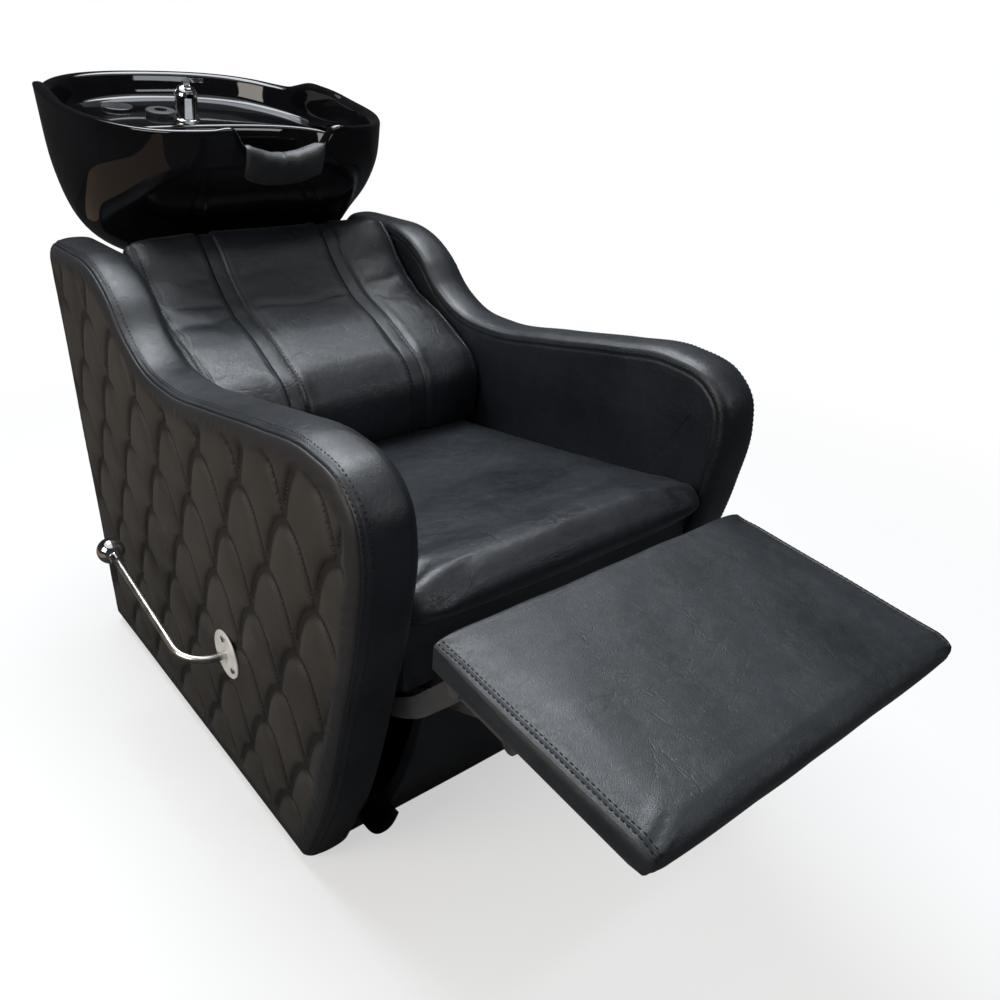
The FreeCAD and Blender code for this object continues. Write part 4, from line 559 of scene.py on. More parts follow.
# %% Finishes: timber, plywood and backing cloth
for name, dark, light, stretch in (
    ("timber", (0.009, 0.007, 0.006), (0.026, 0.019, 0.014), (6.0, 60.0, 60.0)),
    ("plywood", (0.011, 0.009, 0.008), (0.030, 0.023, 0.018), (50.0, 6.0, 400.0)),
):
    tree, shader, place = new_finish(name, Roughness=0.7)
    rings = noise(tree, stretched(tree, place, stretch), 1.0, Detail=6.0, Distortion=0.8)
    paint(tree, shader, mixed(tree, remap(tree, rings, 0.35, 0.65), dark, light))
    bump(tree, shader, rings, 0.0006)

tree, shader, place = new_finish("panel_cloth", Roughness=0.85, Sheen_Weight=0.15)
warp, weft = (node(tree, "ShaderNodeTexWave", [("Vector", place), ("Scale", 260.0)], bands_direction=way)
              for way in "XZ")
weave = times(tree, warp.outputs["Fac"], weft.outputs["Fac"])
paint(tree, shader, mixed(tree, weave, (0.006, 0.006, 0.007), (0.024, 0.024, 0.026)))
bump(tree, shader, weave, 0.0004)
print("finishes:", len(FINISH))

# %% [markdown]
# The CAD nodes that stay get their finish by their slot in the record. The soft ones are
# replaced by dressed pieces further down.

# %% Finishes on the CAD nodes
BY_SLOT = {"leather_black": "band_leather", "leather_creased": "rest_leather",
           "leather_quilted": "quilt_leather"}
for name, cad_node in frame["nodes"].items():
    slot_name = SLOT_OF_NODE[name]
    finish = FINISH["plate_steel" if name == "escutcheon" else BY_SLOT.get(slot_name, slot_name)]
    for held_slot in cad_node.material_slots:
        held_slot.material = finish

# %% [markdown]
# ## The arms
# An arm is a foam block under a leather band. The band is a profile across the arm (inner face,
# sewn inner edge, soft crown, double-stitched outer edge) carried along the outline of the
# side view. Where the profile leaves the edge it moves inwards along the outline's normal.

# %% Arm outline
BODY_DEPTH, BODY_HEIGHT, SOLE = 1016.0, 765.0, 15.0
HALF, SKIN = 326.0, 314.0
ARM_SHARES = np.array((
    (0.0, 0.950), (0.037, 1.0), (0.167, 1.0), (0.246, 0.979), (0.295, 0.940), (0.340, 0.882), (0.394, 0.845),
    (0.487, 0.833), (0.630, 0.857), (0.780, 0.889), (0.891, 0.904), (0.960, 0.884), (0.992, 0.840),
    (1.0, 0.785), (0.987, 0.661), (0.942, 0.458), (0.876, 0.203), (0.805, SOLE / BODY_HEIGHT),
))
arm_shape = np.vstack(((0.0, -BODY_HEIGHT), ARM_SHARES * (-BODY_DEPTH, BODY_HEIGHT)))
arm_shape = np.vstack((arm_shape, 2 * arm_shape[-1] - arm_shape[-2]))
ARM_FIXED = {0: (0, 1), 1: (0, 1), 2: (-1, 0), 3: (-1, 0)}
ARM_STEP = 5.0
arm_line, arm_way = smooth_line(arm_shape, ARM_FIXED, step=ARM_STEP)
keep = arm_line[:, 1] > -12.0
arm_line, arm_way = arm_line[keep], arm_way[keep]
arm_normal = np.stack((-arm_way[:, 1], arm_way[:, 0]), -1)
print("arm outline:", len(arm_line), "points")


def drawn_in(inset):
    """The outline moved inwards by an inset (one or many), never below the sole."""
    inset = np.atleast_1d(inset)
    moved = arm_line[:, None] + arm_normal[:, None] * inset[None, :, None]
    moved[..., 1] = np.maximum(moved[..., 1], SOLE)
    return moved


# %% Band
BAND_INNER, BAND_OUTER = 247.2, 313.6
BAND = np.array((
    (BAND_INNER, 62), (247.1, 40), (247.0, 28), (247.3, 22.5), (248.7, 19.6), (248.1, 16.8), (248.4, 13.5),
    (250.2, 9.2), (254.2, 5.2), (260, 2.4), (268, 0.8), (277, 0.15), (286, 0.0), (296, 0.6), (303, 1.8),
    (308.5, 3.3), (312, 4.9), (BAND_OUTER, 6.6), (315.2, 6.9), (317.2, 8.6), (318.6, 11.0), (317.6, 13.5),
    (315.0, 16), (BAND_OUTER, 22), (BAND_OUTER, 34), (BAND_OUTER, 62),
))
band_profile, _ = smooth_line(BAND, step=1.6)
across, inset = band_profile[:, 0], band_profile[:, 1]
rim = drawn_in(inset)
run = np.arange(len(arm_line)) * ARM_STEP
ripple = 0.45 * np.sin(run / 47.0)[:, None] * np.sin(run / 113.0 + 1.0)[:, None]
crown = np.clip((inset[None] < 14) * (across[None] > 252) * (across[None] < 312), 0, 1)
rim += arm_normal[:, None] * (crown * (0.45 + ripple))[..., None]
band = carried(across[None, :, None], rim)
seat_line = np.stack((np.linspace(-62, -760, len(arm_line)), np.full(len(arm_line), SOLE)), -1)
fill = np.linspace(0, 1, 14)[None, :, None]


def ruled(edge, x):
    """Straight lines from the sole to one edge of the band, on one side of the arm."""
    flat = seat_line[:, None] * (1 - fill) + edge[:, None] * fill
    return carried(x, flat)


inner_face = ruled(band[:, 0, 1:], BAND_INNER)
outer_face = ruled(band[:, -1, 1:], BAND_OUTER)
under = np.stack((inner_face[:, 0], outer_face[:, 0]), 1)
ARM_GRIDS = [band, inner_face, outer_face, under]
ends = [np.concatenate((band[k], outer_face[k, ::-1], inner_face[k])) for k in (0, -1)]
SIDES = (("right", np.ones(3)), ("left", np.array((-1.0, 1.0, 1.0))))
for side, sign in SIDES:
    make_piece(f"arm_band_{side}", [g * sign for g in ARM_GRIDS], "band_leather", "chassis",
               [f"arm_pad_{side}"], caps=[e * sign for e in ends])

# %% [markdown]
# Three rows of stitching run along each arm: a pair beside the outer seam and a single row at
# the inner seam. Each row is a column of the band's own grid, so it lies on the leather.


# %% Stitching on the arms
def column_at(x, depth):
    """The column of the band profile that is nearest to a place across and an inset."""
    return int(np.argmin(np.hypot(across - x, inset - depth)))


for side, sign in SIDES:
    paths = []
    for x, depth in ((309.2, 3.6), (316.6, 8.0), (248.3, 15.0)):
        line, normal = seam_path(band, column_at(x, depth), trim=6)
        normal = facing_out(normal, carried((285.0 - x) / 60.0, arm_normal[6:-6]))
        paths.append((line * sign - normal * sign * 0.3, normal * sign))
    stitches(f"arm_stitches_{side}", paths, "chassis")

# %% [markdown]
# ## The quilted sides
# The side is one skin, puffed between seams in the pattern of fish scales. The grid fills the
# outline by blending its four sides; the height at each point depends only on where it lies:
# distance to the nearest scale seam, and distance to the border, where seams fade.

# %% Quilt: grid over the side
QUILT_EDGE = 10.6
border, _ = smooth_line(arm_shape, ARM_FIXED, step=2.0)
edge_way = np.gradient(border, axis=0)
edge_way /= np.linalg.norm(edge_way, axis=1)[:, None]
border = border + np.stack((-edge_way[:, 1], edge_way[:, 0]), -1) * QUILT_EDGE
border = border[border[:, 1] >= SOLE + 0.5]
top_rear = int(np.argmax(-border[:, 0] * -0.7 + border[:, 1]))
nose = int(np.argmax(-border[:, 0] * 0.9 + border[:, 1]))


def resampled(line, count):
    """A line at a given number of equal steps."""
    size = travelled(line)
    return read_at(np.linspace(0, size[-1], count), size, line)


ACROSS, RISE = 300, 230
rear = resampled(border[:top_rear + 1], RISE)
top = resampled(border[top_rear:nose + 1], ACROSS)
front = resampled(border[nose:][::-1], RISE)
bottom = resampled(np.stack((rear[0], front[0])), ACROSS)
a = np.linspace(0, 1, ACROSS)[None, :, None]
b = np.linspace(0, 1, RISE)[:, None, None]
side_plan = ((1 - a) * rear[:, None] + a * front[:, None] + (1 - b) * bottom[None] + b * top[None]
             - (1 - a) * (1 - b) * rear[0] - a * (1 - b) * front[0]
             - (1 - a) * b * rear[-1] - a * b * front[-1])
sole_line = np.stack((np.linspace(border[-1, 0], border[0, 0], 400), np.full(400, SOLE + 0.5)), -1)
loop = np.concatenate((border, sole_line))
print("quilt plan:", side_plan.shape)

# %% Quilt: seams and puffs
PITCH, SCALE_RISE = 122.0, 93.0
PHASE_Y, PHASE_Z = -532.0, 478.0
PLATE_Y, PLATE_Z = -616.0, 262.0
arch_u = np.linspace(-1, 1, 301)
ARCH = np.stack((arch_u * PITCH / 2, -SCALE_RISE * (0.839 * arch_u**2 + 0.161 * arch_u**6)), -1)
ARCH_RUN = travelled(ARCH)


def border_distance(plan):
    """Distance from every point of the plan to the border, in blocks of rows."""
    out = np.empty(plan.shape[:2])
    for start in range(0, len(plan), 10):
        rows = plan[start:start + 10, :, None]
        out[start:start + 10] = np.sqrt(((rows - loop[None, None]) ** 2).sum(-1)).min(-1)
    return out


def scale_seams(plan):
    """Distance to the nearest arch and length along it, from points of the arch 0.7 mm apart."""
    best = np.full(plan.shape[:2], 1e3)
    along = np.zeros(plan.shape[:2])
    row0 = np.floor((plan[..., 1] - PHASE_Z) / SCALE_RISE)
    for start in range(0, len(plan), 8):
        part = slice(start, start + 8)
        for shift in (0, 1, 2):
            row = row0[part] + shift
            moved = plan[part, :, 0] - PHASE_Y - np.where(row % 2 != 0, PITCH / 2, 0.0)
            away = moved - np.round(moved / PITCH) * PITCH
            rise = plan[part, :, 1] - PHASE_Z - row * SCALE_RISE
            for offset in (away, away - np.copysign(PITCH, away)):
                square = (offset[..., None] - ARCH[:, 0]) ** 2 + (rise[..., None] - ARCH[:, 1]) ** 2
                index = square.argmin(-1)
                reach = np.sqrt(np.take_along_axis(square, index[..., None], -1)[..., 0])
                near = reach < best[part]
                best[part] = np.where(near, reach, best[part])
                along[part] = np.where(near, ARCH_RUN[index], along[part])
    return best, along


rim_gap = border_distance(side_plan)
seam_gap, seam_run = scale_seams(side_plan)
seam_shown = smoothstep(16.0, 40.0, rim_gap)
plate = np.hypot(side_plan[..., 0] - PLATE_Y, side_plan[..., 1] - PLATE_Z)
depth = 8.8 * np.exp(-(seam_gap / 11.0) ** 1.2) + 1.8 * bell(seam_gap, 4.4, 1.4)
depth *= seam_shown * (1 - 0.6 * smoothstep(60.0, 38.0, plate))
edge = np.sqrt(np.clip(1 - (1 - np.clip(rim_gap / 24.0, 0, 1)) ** 2, 0, 1))
angle = np.arctan2(side_plan[..., 1] - 420.0, side_plan[..., 0] + 520.0)
pucker = 0.45 * np.sin(angle * 110 + 4 * np.sin(angle * 17)) * bell(rim_gap, 16.0, 8.0)
swell = 0.8 * np.sin(side_plan[..., 0] / 61.0 + 1.3) * np.sin(side_plan[..., 1] / 53.0)
x = 318.4 + 7.2 * edge - depth + (pucker + swell - 0.8) * np.clip(rim_gap / 14.0, 0, 1)
x = np.minimum(x, HALF - 0.2)
panel = carried(x[..., None], side_plan)
rim_loop = np.concatenate((panel[0, :], panel[1:, -1], panel[-1, -2::-1], panel[-2::-1, 0]))
back_loop = rim_loop * (0, 1, 1) + (SKIN + 0.2, 0, 0)
wall = np.stack((rim_loop, back_loop))
flat_marks = {}
for label, mark, far in (("seam_distance", seam_gap, 50.0), ("seam_along", seam_run, 0.0),
                         ("seam_shown", seam_shown, 0.0)):
    flat_marks[label] = np.concatenate((mark.ravel(), np.full(3 * len(back_loop) - 1, far)))
for side, sign in SIDES:
    make_piece(f"quilted_side_{side}", [panel * sign, wall * sign], "quilt_leather", "chassis",
               [f"quilted_panel_{side}"], caps=[back_loop[:-1] * sign],
               marks=flat_marks)

# %% [markdown]
# ## Cushions
# Seat, back and leg rest share one maker: the side view's outline is drawn in more and more
# towards both ends, which gives the crowned form of a stuffed pad, and the ends are closed.


# %% Cushion maker
def crowned_pad(line, normal, tail, stations, drop):
    """Rings of the outline at stations across; drop(x, along) draws each point in by millimetres."""
    inset = drop(stations[:, None], travelled(line)[None, :])
    moved = line[None] + normal[None] * inset[..., None]
    flat = np.broadcast_to(np.asarray(tail, float)[None], (len(stations), len(tail), 2))
    ring = np.concatenate((moved, flat, moved[:, :1]), 1)
    return carried(stations[:, None, None], ring)


EASE = np.array((
    (0.0, 0.0), (0.3, 0.004), (0.5, 0.02), (0.7, 0.06), (0.8, 0.10), (0.88, 0.19), (0.925, 0.31),
    (0.955, 0.46), (0.975, 0.62), (0.99, 0.80), (1.0, 1.0),
))


def crown_inset(share, amount):
    """How far the outline is drawn in at a share of the half width, from the table EASE."""
    return np.interp(np.abs(share), EASE[:, 0], EASE[:, 1]) * amount


def left_normal(way):
    """Normals to the left of the way the line runs."""
    return np.stack((-way[:, 1], way[:, 0]), -1)


# %% [markdown]
# Stuffing presses leather outwards, and seams hold it back. So each pad's skin is run as cloth
# with air pressure inside, on a coarser copy of its grid. The seams and hidden faces are held,
# and how far each point has moved, up to a limit, is added to the fine grid.


# %% Air in the pads
FRAMES, PRESSURE = 20, 4.0


def between(values, known, wanted):
    """Values along the first axis, read on straight lines between the known places."""
    k = np.clip(np.searchsorted(known, wanted, side="right") - 1, 0, len(known) - 2)
    t = ((wanted - known[k]) / (known[k + 1] - known[k]))[:, None, None]
    return values[k] * (1 - t) + values[k + 1] * t


def pressed_out(grid, held, seams=(), limit=3.0):
    """The grid after 20 frames as cloth under pressure; held points stay where they are."""
    rows = np.unique(np.concatenate((np.arange(0, len(grid), 2), [len(grid) - 1], seams)).astype(int))
    wide = grid.shape[1]
    columns = np.unique(np.append(np.arange(0, wide, 2), np.arange(wide - 6, wide)))
    flat = to_frame(grid[np.ix_(rows, columns)].reshape(-1, 3))
    _, first, member = np.unique(np.round(flat * 2e4).astype(int), axis=0, return_index=True,
                                 return_inverse=True)
    member = member.ravel()
    faces = member[grid_faces(len(rows), len(columns), 0)]
    whole = (np.sort(faces, 1)[:, 1:] != np.sort(faces, 1)[:, :-1]).all(1)
    rings = member.reshape(len(rows), -1)
    ends = [list(dict.fromkeys(rings[0].tolist())), list(dict.fromkeys(rings[-1].tolist()))]
    mesh = bpy.data.meshes.new("air")
    mesh.from_pydata(flat[first].tolist(), [], faces[whole].tolist() + ends)
    turned_out(mesh)
    skin = placed("air", mesh)
    fixed = skin.vertex_groups.new(name="held")
    fixed.add(np.unique(member[held[np.ix_(rows, columns)].ravel()]).tolist(), 1.0, "REPLACE")
    cloth = skin.modifiers.new("cloth", "CLOTH")
    cloth.settings.quality = 5
    cloth.settings.use_pressure = True
    cloth.settings.uniform_pressure_force = PRESSURE
    cloth.settings.vertex_group_mass = "held"
    cloth.settings.effector_weights.gravity = 0.0
    cloth.settings.bending_stiffness = 1.5
    cloth.point_cache.frame_start, cloth.point_cache.frame_end = 1, FRAMES
    for frame_number in range(1, FRAMES + 1):
        bpy.context.scene.frame_set(frame_number)
    done = skin.evaluated_get(bpy.context.evaluated_depsgraph_get())
    after = np.empty(len(first) * 3, np.float32)
    done.data.vertices.foreach_get("co", after)
    moved = ((after.reshape(-1, 3) - flat[first]) * 1000.0)[member].reshape(len(rows), len(columns), 3)
    far = np.linalg.norm(moved, axis=-1, keepdims=True)
    moved *= limit * np.tanh(far / limit) / np.maximum(far, 1e-6)
    bpy.data.objects.remove(skin)
    bpy.data.meshes.remove(mesh)
    bpy.context.scene.frame_set(1)
    print(f"air moved {len(first)} points by up to {np.linalg.norm(moved, axis=-1).max():.1f} mm")
    moved = between(moved, rows, np.arange(len(grid)))
    moved = between(moved.transpose(1, 0, 2), columns, np.arange(wide)).transpose(1, 0, 2)
    return grid + moved


def crossed(half, count):
    """Places across a pad from side to side, closest together at its sides (a sine)."""
    return half * np.sin(np.linspace(-math.pi / 2, math.pi / 2, count))


def nearest(stations, place):
    """The index of the station that is nearest to a place."""
    return int(np.argmin(np.abs(stations - place)))


# %% Seat cushion
SIDE = 246.5
seat_points = np.array((
    (0.0, 0.46), (0.45, 0.70), (0.665, 0.83), (0.81, 0.92), (0.905, 0.985), (0.955, 0.975), (0.99, 0.85),
    (1.0, 0.72), (0.975, 0.585),
)) * (-573.0, 135.0) + (-430.0, 392.0)
seat_line, seat_way = smooth_line(seat_points, step=4.0)
seat_stations = crossed(SIDE, 90)


def seat_drop(x, run):
    """Crown to the sides, a sat-in hollow in the middle and a few soft pulls at the front corners."""
    crown = crown_inset(x / SIDE, 15.0)
    hollow = 3.0 * bell(x, 0, 150) * bell(run, 260, 150)
    pull = 0.7 * np.sin(run / 9.0 + x / 33.0) * bell(np.abs(x), 205, 34) * bell(run, 540, 70)
    wave = 0.8 * np.sin(x / 71.0 + 0.6) * np.sin(run / 97.0)
    return crown + hollow + pull + wave + 0.8


seat_tail = [(-941.0, 469.3), (-941.0, 392.0), (-430.0, 392.0)]
seat = crowned_pad(seat_line, left_normal(seat_way), seat_tail, seat_stations, seat_drop)
held = np.zeros(seat.shape[:2], bool)
held[:, len(seat_line):] = held[:, :3] = held[:3] = held[-3:] = True
seat = pressed_out(seat, held)
make_piece("seat_pad", [seat], "seat_leather", "chassis", ["seat_cushion"],
           caps=end_loops(seat))

# %% [markdown]
# The backrest has an S-shaped front, two sunk bands that run from top to seat, and gussets at
# its sides. The bands are sewn down, so the leather beside them swells a little.

# %% Backrest
back_points = np.array((
    (0.0, 0.85), (0.0, 0.90), (0.075, 0.998), (0.165, 0.937), (0.277, 0.797), (0.43, 0.664), (0.66, 0.565),
    (0.80, 0.486), (0.925, 0.40), (0.985, 0.295), (0.995, 0.15), (0.955, 0.0),
)) * (-347.0, 315.0) + (-140.0, 463.0)
back_line, back_way = smooth_line(back_points, {0: (0, 1), 1: (0, 1), 2: (-1, 0)}, step=3.5)
STRIPE, GUSSET = (98.0, 127.0), 235.5
base_stations = np.concatenate((crossed(SIDE, 110),
                                *[s * np.linspace(STRIPE[0] - 8, STRIPE[1] + 8, 34) for s in (-1, 1)],
                                *[s * np.linspace(224, 242, 14) for s in (-1, 1)]))
back_stations = np.unique(np.round(base_stations, 2))


def back_drop(x, run):
    """Crown, sunk stripes with swollen edges, a sewn gusset line and folds in the bend."""
    far = np.abs(x)
    crown = crown_inset(x / SIDE, 16.0)
    near, away = STRIPE
    within = smoothstep(near - 2.0, near + 2.5, far) * (1 - smoothstep(away - 2.5, away + 2.0, far))
    lips = bell(far, near - 9, 6) + bell(far, away + 9, 6)
    rows = bell(far, near + 3.6, 1.2) + bell(far, away - 3.6, 1.2)
    gusset = 1.8 * bell(far, GUSSET, 1.7)
    folds = 0.9 * bell(run, 235, 60) * np.sin(run / 7.5 + far / 30.0) * smoothstep(130.0, 190.0, far)
    lean = 2.5 * bell(x, 0, 95) * bell(run, 330, 120)
    soft = 0.7 * np.sin(x / 53.0 + 0.4) * np.sin(run / 81.0 + 0.5)
    return crown + 3.4 * within - 0.9 * lips + 0.6 * rows * within + gusset + folds + lean + soft + 1.2


heel = [(-140.0 - 0.745 * 347.0, 463.0)]
backrest = crowned_pad(back_line, left_normal(back_way), heel, back_stations, back_drop)
sewn = [nearest(back_stations, s * x) for s in (-1, 1) for x in (*STRIPE, 101.4, 123.6, GUSSET)]
held = np.zeros(backrest.shape[:2], bool)
held[:, len(back_line):] = held[:, :12] = held[:2] = held[-2:] = held[sewn] = True
backrest = pressed_out(backrest, held, sewn)
make_piece("back_pad", [backrest], "seat_leather", "chassis", ["backrest_pad"],
           caps=end_loops(backrest))
count = len(back_line)
back_normal = facing_out(grid_normals(backrest[:, :count]), carried(0.0, left_normal(back_way)))
rows = []
for x in (STRIPE[0] + 3.4, STRIPE[1] - 3.4, STRIPE[0] - 3.2, 232.0, 239.0):
    for s in (-1, 1):
        j = nearest(back_stations, s * x)
        rows.append((backrest[j, 22:count - 4], back_normal[j, 22:count - 4]))
stitches("back_stitches", rows, "chassis")

# %% [markdown]
# The leg rest is a board with a thin pad pulled over it. It is laid out flat about its hinge and
# then tipped by its slope, and its underside leaves the board's pocket open.

# %% Leg rest
HINGE, SLOPE = np.array((-1068.0, 443.0)), math.radians(6.4)
rest_points = ((35, 14), (35, 46), (28, 53), (-269, 53), (-299, 33.5), (-292, 14))
rest_fixed = {0: (0, 1), 1: (0, 1), 2: (-1, 0), 3: (-1, 0), 4: (0, -1)}
rest_line, rest_way = smooth_line(rest_points, rest_fixed, step=3.0)
REST_SIDE, REST_SEAM = 259.0, 251.5
base_stations = np.concatenate((crossed(REST_SIDE, 110), (-250.2, -249.8, 249.8, 250.2),
                                np.linspace(244, 258, 12), -np.linspace(244, 258, 12)))
rest_stations = np.unique(np.round(base_stations, 2))


def rest_drop(x, run):
    """A thin crown, a sewn line near each side, gathers at the front corners, and pull lines."""
    far = np.abs(x)
    crown = crown_inset(x / REST_SIDE, 7.0)
    sewn = 1.5 * bell(far, REST_SEAM, 1.5) * smoothstep(30.0, 60.0, run)
    gather = 1.1 * np.sin(run / 4.2) * bell(far, 246, 10) * bell(run, 372, 22)
    pull = 0.5 * np.sin((x + run * 0.8) / 24.0) * np.sin((x - run * 0.5) / 61.0)
    edge = 1.2 * bell(run, 58, 12)
    return crown + sewn + gather + pull + edge + 0.5


pocket = np.array(((-269.0, 14.0), (-269.0, 28.2), (26.0, 28.2), (26.0, 14.0)))
rest = crowned_pad(rest_line, left_normal(rest_way), pocket, rest_stations, rest_drop)
solid_end = np.abs(rest_stations) > 250
rest[np.ix_(solid_end, [len(rest_line) + 1, len(rest_line) + 2], [2])] = 14.0
sewn = [nearest(rest_stations, s * REST_SEAM) for s in (-1, 1)]
held = np.zeros(rest.shape[:2], bool)
held[:, len(rest_line):] = held[:, :4] = held[:3] = held[-3:] = held[sewn] = True
rest = pressed_out(rest, held, sewn, limit=2.0)


def tipped(points):
    """From the flat layout to the hinge and slope: turned about x, then moved."""
    y, z = points[..., 1], points[..., 2]
    c, s = math.cos(SLOPE), math.sin(SLOPE)
    turned = np.stack((y * c - z * s, y * s + z * c), -1)
    return np.concatenate((points[..., :1], turned + HINGE), -1)


count = len(rest_line)
rest_normal = facing_out(grid_normals(rest[:, :count]), carried(0.0, left_normal(rest_way)))
make_piece("leg_rest_cushion", [tipped(rest)], "rest_leather", "leg_rest",
           ["leg_rest_pad"], caps=end_loops(tipped(rest)))
rows = []
for x in (248.3, 254.2):
    for s in (-1, 1):
        j = nearest(rest_stations, s * x)
        flat, out = rest[j, 14:count - 8], rest_normal[j, 14:count - 8]
        rows.append((tipped(flat), tipped(flat + out) - tipped(flat)))
stitches("leg_rest_stitches", rows, "leg_rest")

# %% [markdown]
# Apron and kick panel are leather pulled over boards: plates with softly rounded edges. Their
# outline is closed in the side view and drawn in towards both ends.


# %% Apron and kick panel
def covered_board(name, outline, half, node_name, round_by=5.0):
    """A closed outline (m x 2) carried across the chair, rounded at its ends by a quarter circle."""
    centre = outline.mean(0)
    turn = np.linspace(0, math.pi / 2, 9)
    end = half - round_by + round_by * np.sin(turn)
    stations = np.concatenate((-end[::-1], np.linspace(-half + round_by, half - round_by, 24)[1:-1], end))
    past = np.clip((np.abs(stations) - (half - round_by)) / round_by, 0, 1)
    inset = round_by * 0.6 * (1 - np.sqrt(np.clip(1 - past**2, 0, 1)))
    way = np.roll(outline, -1, 0) - np.roll(outline, 1, 0)
    normal = left_normal(way / np.linalg.norm(way, axis=1)[:, None])
    flip = np.sign(((centre - outline) * normal).sum())
    ring = outline[None] + normal[None] * (flip * inset)[:, None, None]
    wave = 0.5 * np.sin(stations / 37.0)[:, None] * np.sin(np.arange(len(outline)) / 9.0)[None]
    ring = ring + normal[None] * (flip * (wave + 0.5))[..., None]
    ring = np.concatenate((ring, ring[:, :1]), 1)
    grid = carried(stations[:, None, None], ring)
    make_piece(name, [grid], "band_leather", "chassis", [node_name],
               caps=end_loops(grid))


def rounded_loop(corners, radius):
    """A polygon with its corners turned into arcs (a quadratic curve through each corner)."""
    corners = np.asarray(corners, float)
    parts = []
    t = np.linspace(0, 1, 7)[:, None]
    for p, q, r in zip(np.roll(corners, 1, 0), corners, np.roll(corners, -1, 0)):
        a = q + (p - q) / np.linalg.norm(p - q) * radius
        b = q + (r - q) / np.linalg.norm(r - q) * radius
        parts.append((1 - t) ** 2 * a + 2 * t * (1 - t) * q + t**2 * b)
    return np.concatenate(parts)


KICK_TOP = 372
apron = rounded_loop(((-968, KICK_TOP), (-941, KICK_TOP), (-941, 469), (-968, 469)), 6.0)
covered_board("apron_cover", apron, SIDE, "front_apron")
kick = (arm_line[:, 0] < -700) & (arm_line[:, 1] < KICK_TOP) & (arm_line[:, 1] > SOLE)
outer = arm_line[kick] + arm_normal[kick] * 6.5
inner = arm_line[kick] + arm_normal[kick] * 27.5
skin_loop = np.concatenate((outer, inner[::-1]))
skin_loop[:, 1] = np.clip(skin_loop[:, 1], 15.6, 371.6)
covered_board("kick_cover", skin_loop, 193.6, "kick_panel")
sill_x = np.linspace(193.9, 246.6, 30)
sill_top = 44.0 + 22.0 * np.abs((sill_x - 220.2) / 26.4) ** 2.4
low = skin_loop[skin_loop[:, 1] < 120.0]
sill = np.broadcast_to(low[None], (len(sill_x), *low.shape)).copy()
sill[..., 1] = np.minimum(sill[..., 1], sill_top[:, None])
sill[..., 0] += 3.5
sill = np.concatenate((sill, sill[:, :1]), 1)
sill = carried(sill_x[:, None, None], sill)
for side, sign in SIDES:
    make_piece(f"slot_sill_{side}", [sill * sign], "band_leather", "chassis",
               caps=end_loops(sill * sign))

# %% [markdown]
# Under the body, black lining cloth is stretched across the frame: painted shade, a dark sheet where there is
# only shade, which makes the slots beside the kick panel look black. It hangs a little in the middle.

# %% Lining cloth, painted shade under the body
# A dark sheet that stands in for the shade under the body.
LINING_HALF, LINING_FRONT, LINING_REAR = 246, -796, -60
lining_x, lining_y = np.meshgrid(np.linspace(-LINING_HALF, LINING_HALF, 60),
                                 np.linspace(LINING_FRONT, LINING_REAR, 90), indexing="ij")
sag = (np.sin((lining_x + LINING_HALF) / (2 * LINING_HALF) * math.pi)
       * np.sin((lining_y - LINING_FRONT) / (LINING_REAR - LINING_FRONT) * math.pi))
lining = np.stack((lining_x, lining_y, 14.4 - 3.0 * sag + 0.4 * np.sin(lining_x / 23) * sag), -1)
above = lining + (0.0, 0.0, 0.5)
lining_walls = [np.stack((above[k], lining[k])) for k in (0, -1)]
lining_walls += [np.stack((above[:, k], lining[:, k])) for k in (0, -1)]
shade_lining = make_piece("shade_lining_cloth", [lining, above] + lining_walls, "panel_cloth", "chassis")

# %% [markdown]
# ## The basin
# A ceramic bowl cast in one piece. Every ring round it has the same plan, scaled; what changes
# from ring to ring is its width, its reach to the front and to the rear, and its height. Rings
# run from the foot up the outside, over the rolled rim, down inside to the deck and the bowl,
# and out through the drain, so the skin is closed.

# %% Basin: plan and tables
FOOT, TALL = 715.0, 315.0
WIDE, AHEAD, BEHIND = 277.0, 300.0, 334.0
half_plan = np.array((
    (0.0, -1.0), (0.62, -0.925), (0.895, -0.557), (1.0, -0.083), (0.96, 0.39), (0.76, 0.76), (0.0, 1.0),
))
half_way = {0: (1, 0), len(half_plan) - 1: (-1, 0)}
half_line, _ = smooth_line(half_plan, half_way, step=0.0105)
PLAN = np.concatenate((half_line, half_line[-2::-1] * (-1, 1)))
WALL = np.array((
    (0.0, 0.50, 0.32, 0.44), (0.025, 0.65, 0.34, 0.49), (0.08, 0.775, 0.38, 0.555), (0.15, 0.86, 0.41, 0.61),
    (0.205, 0.90, 0.44, 0.645), (0.29, 0.94, 0.60, 0.69), (0.40, 0.97, 0.76, 0.75),
    (0.58, 0.995, 0.90, 0.835), (1.0, 1.0, 1.0, 1.0),
))
BOWL = np.array((
    (0.057, 0.34, 0.25, 0.06), (0.085, 0.54, 0.30, 0.14), (0.159, 0.73, 0.355, 0.21),
    (0.205, 0.78, 0.385, 0.235), (0.270, 0.84, 0.48, 0.25), (0.429, 0.895, 0.72, 0.275),
    (0.72, 0.922, 0.872, 0.295), (1.0, 0.925, 0.93, 0.30),
))
RIM = np.array((
    (-1.2, 0.745), (-0.817, 0.737), (-0.463, 0.773), (-0.083, 0.825), (0.14, 0.867), (0.257, 0.889),
    (0.377, 0.906), (0.455, 0.893), (0.53, 0.879), (0.63, 0.889), (0.78, 0.917), (1.0, 0.955), (1.2, 0.975),
))
rim_curve, _ = smooth_line(RIM * (AHEAD, TALL), step=2.0)


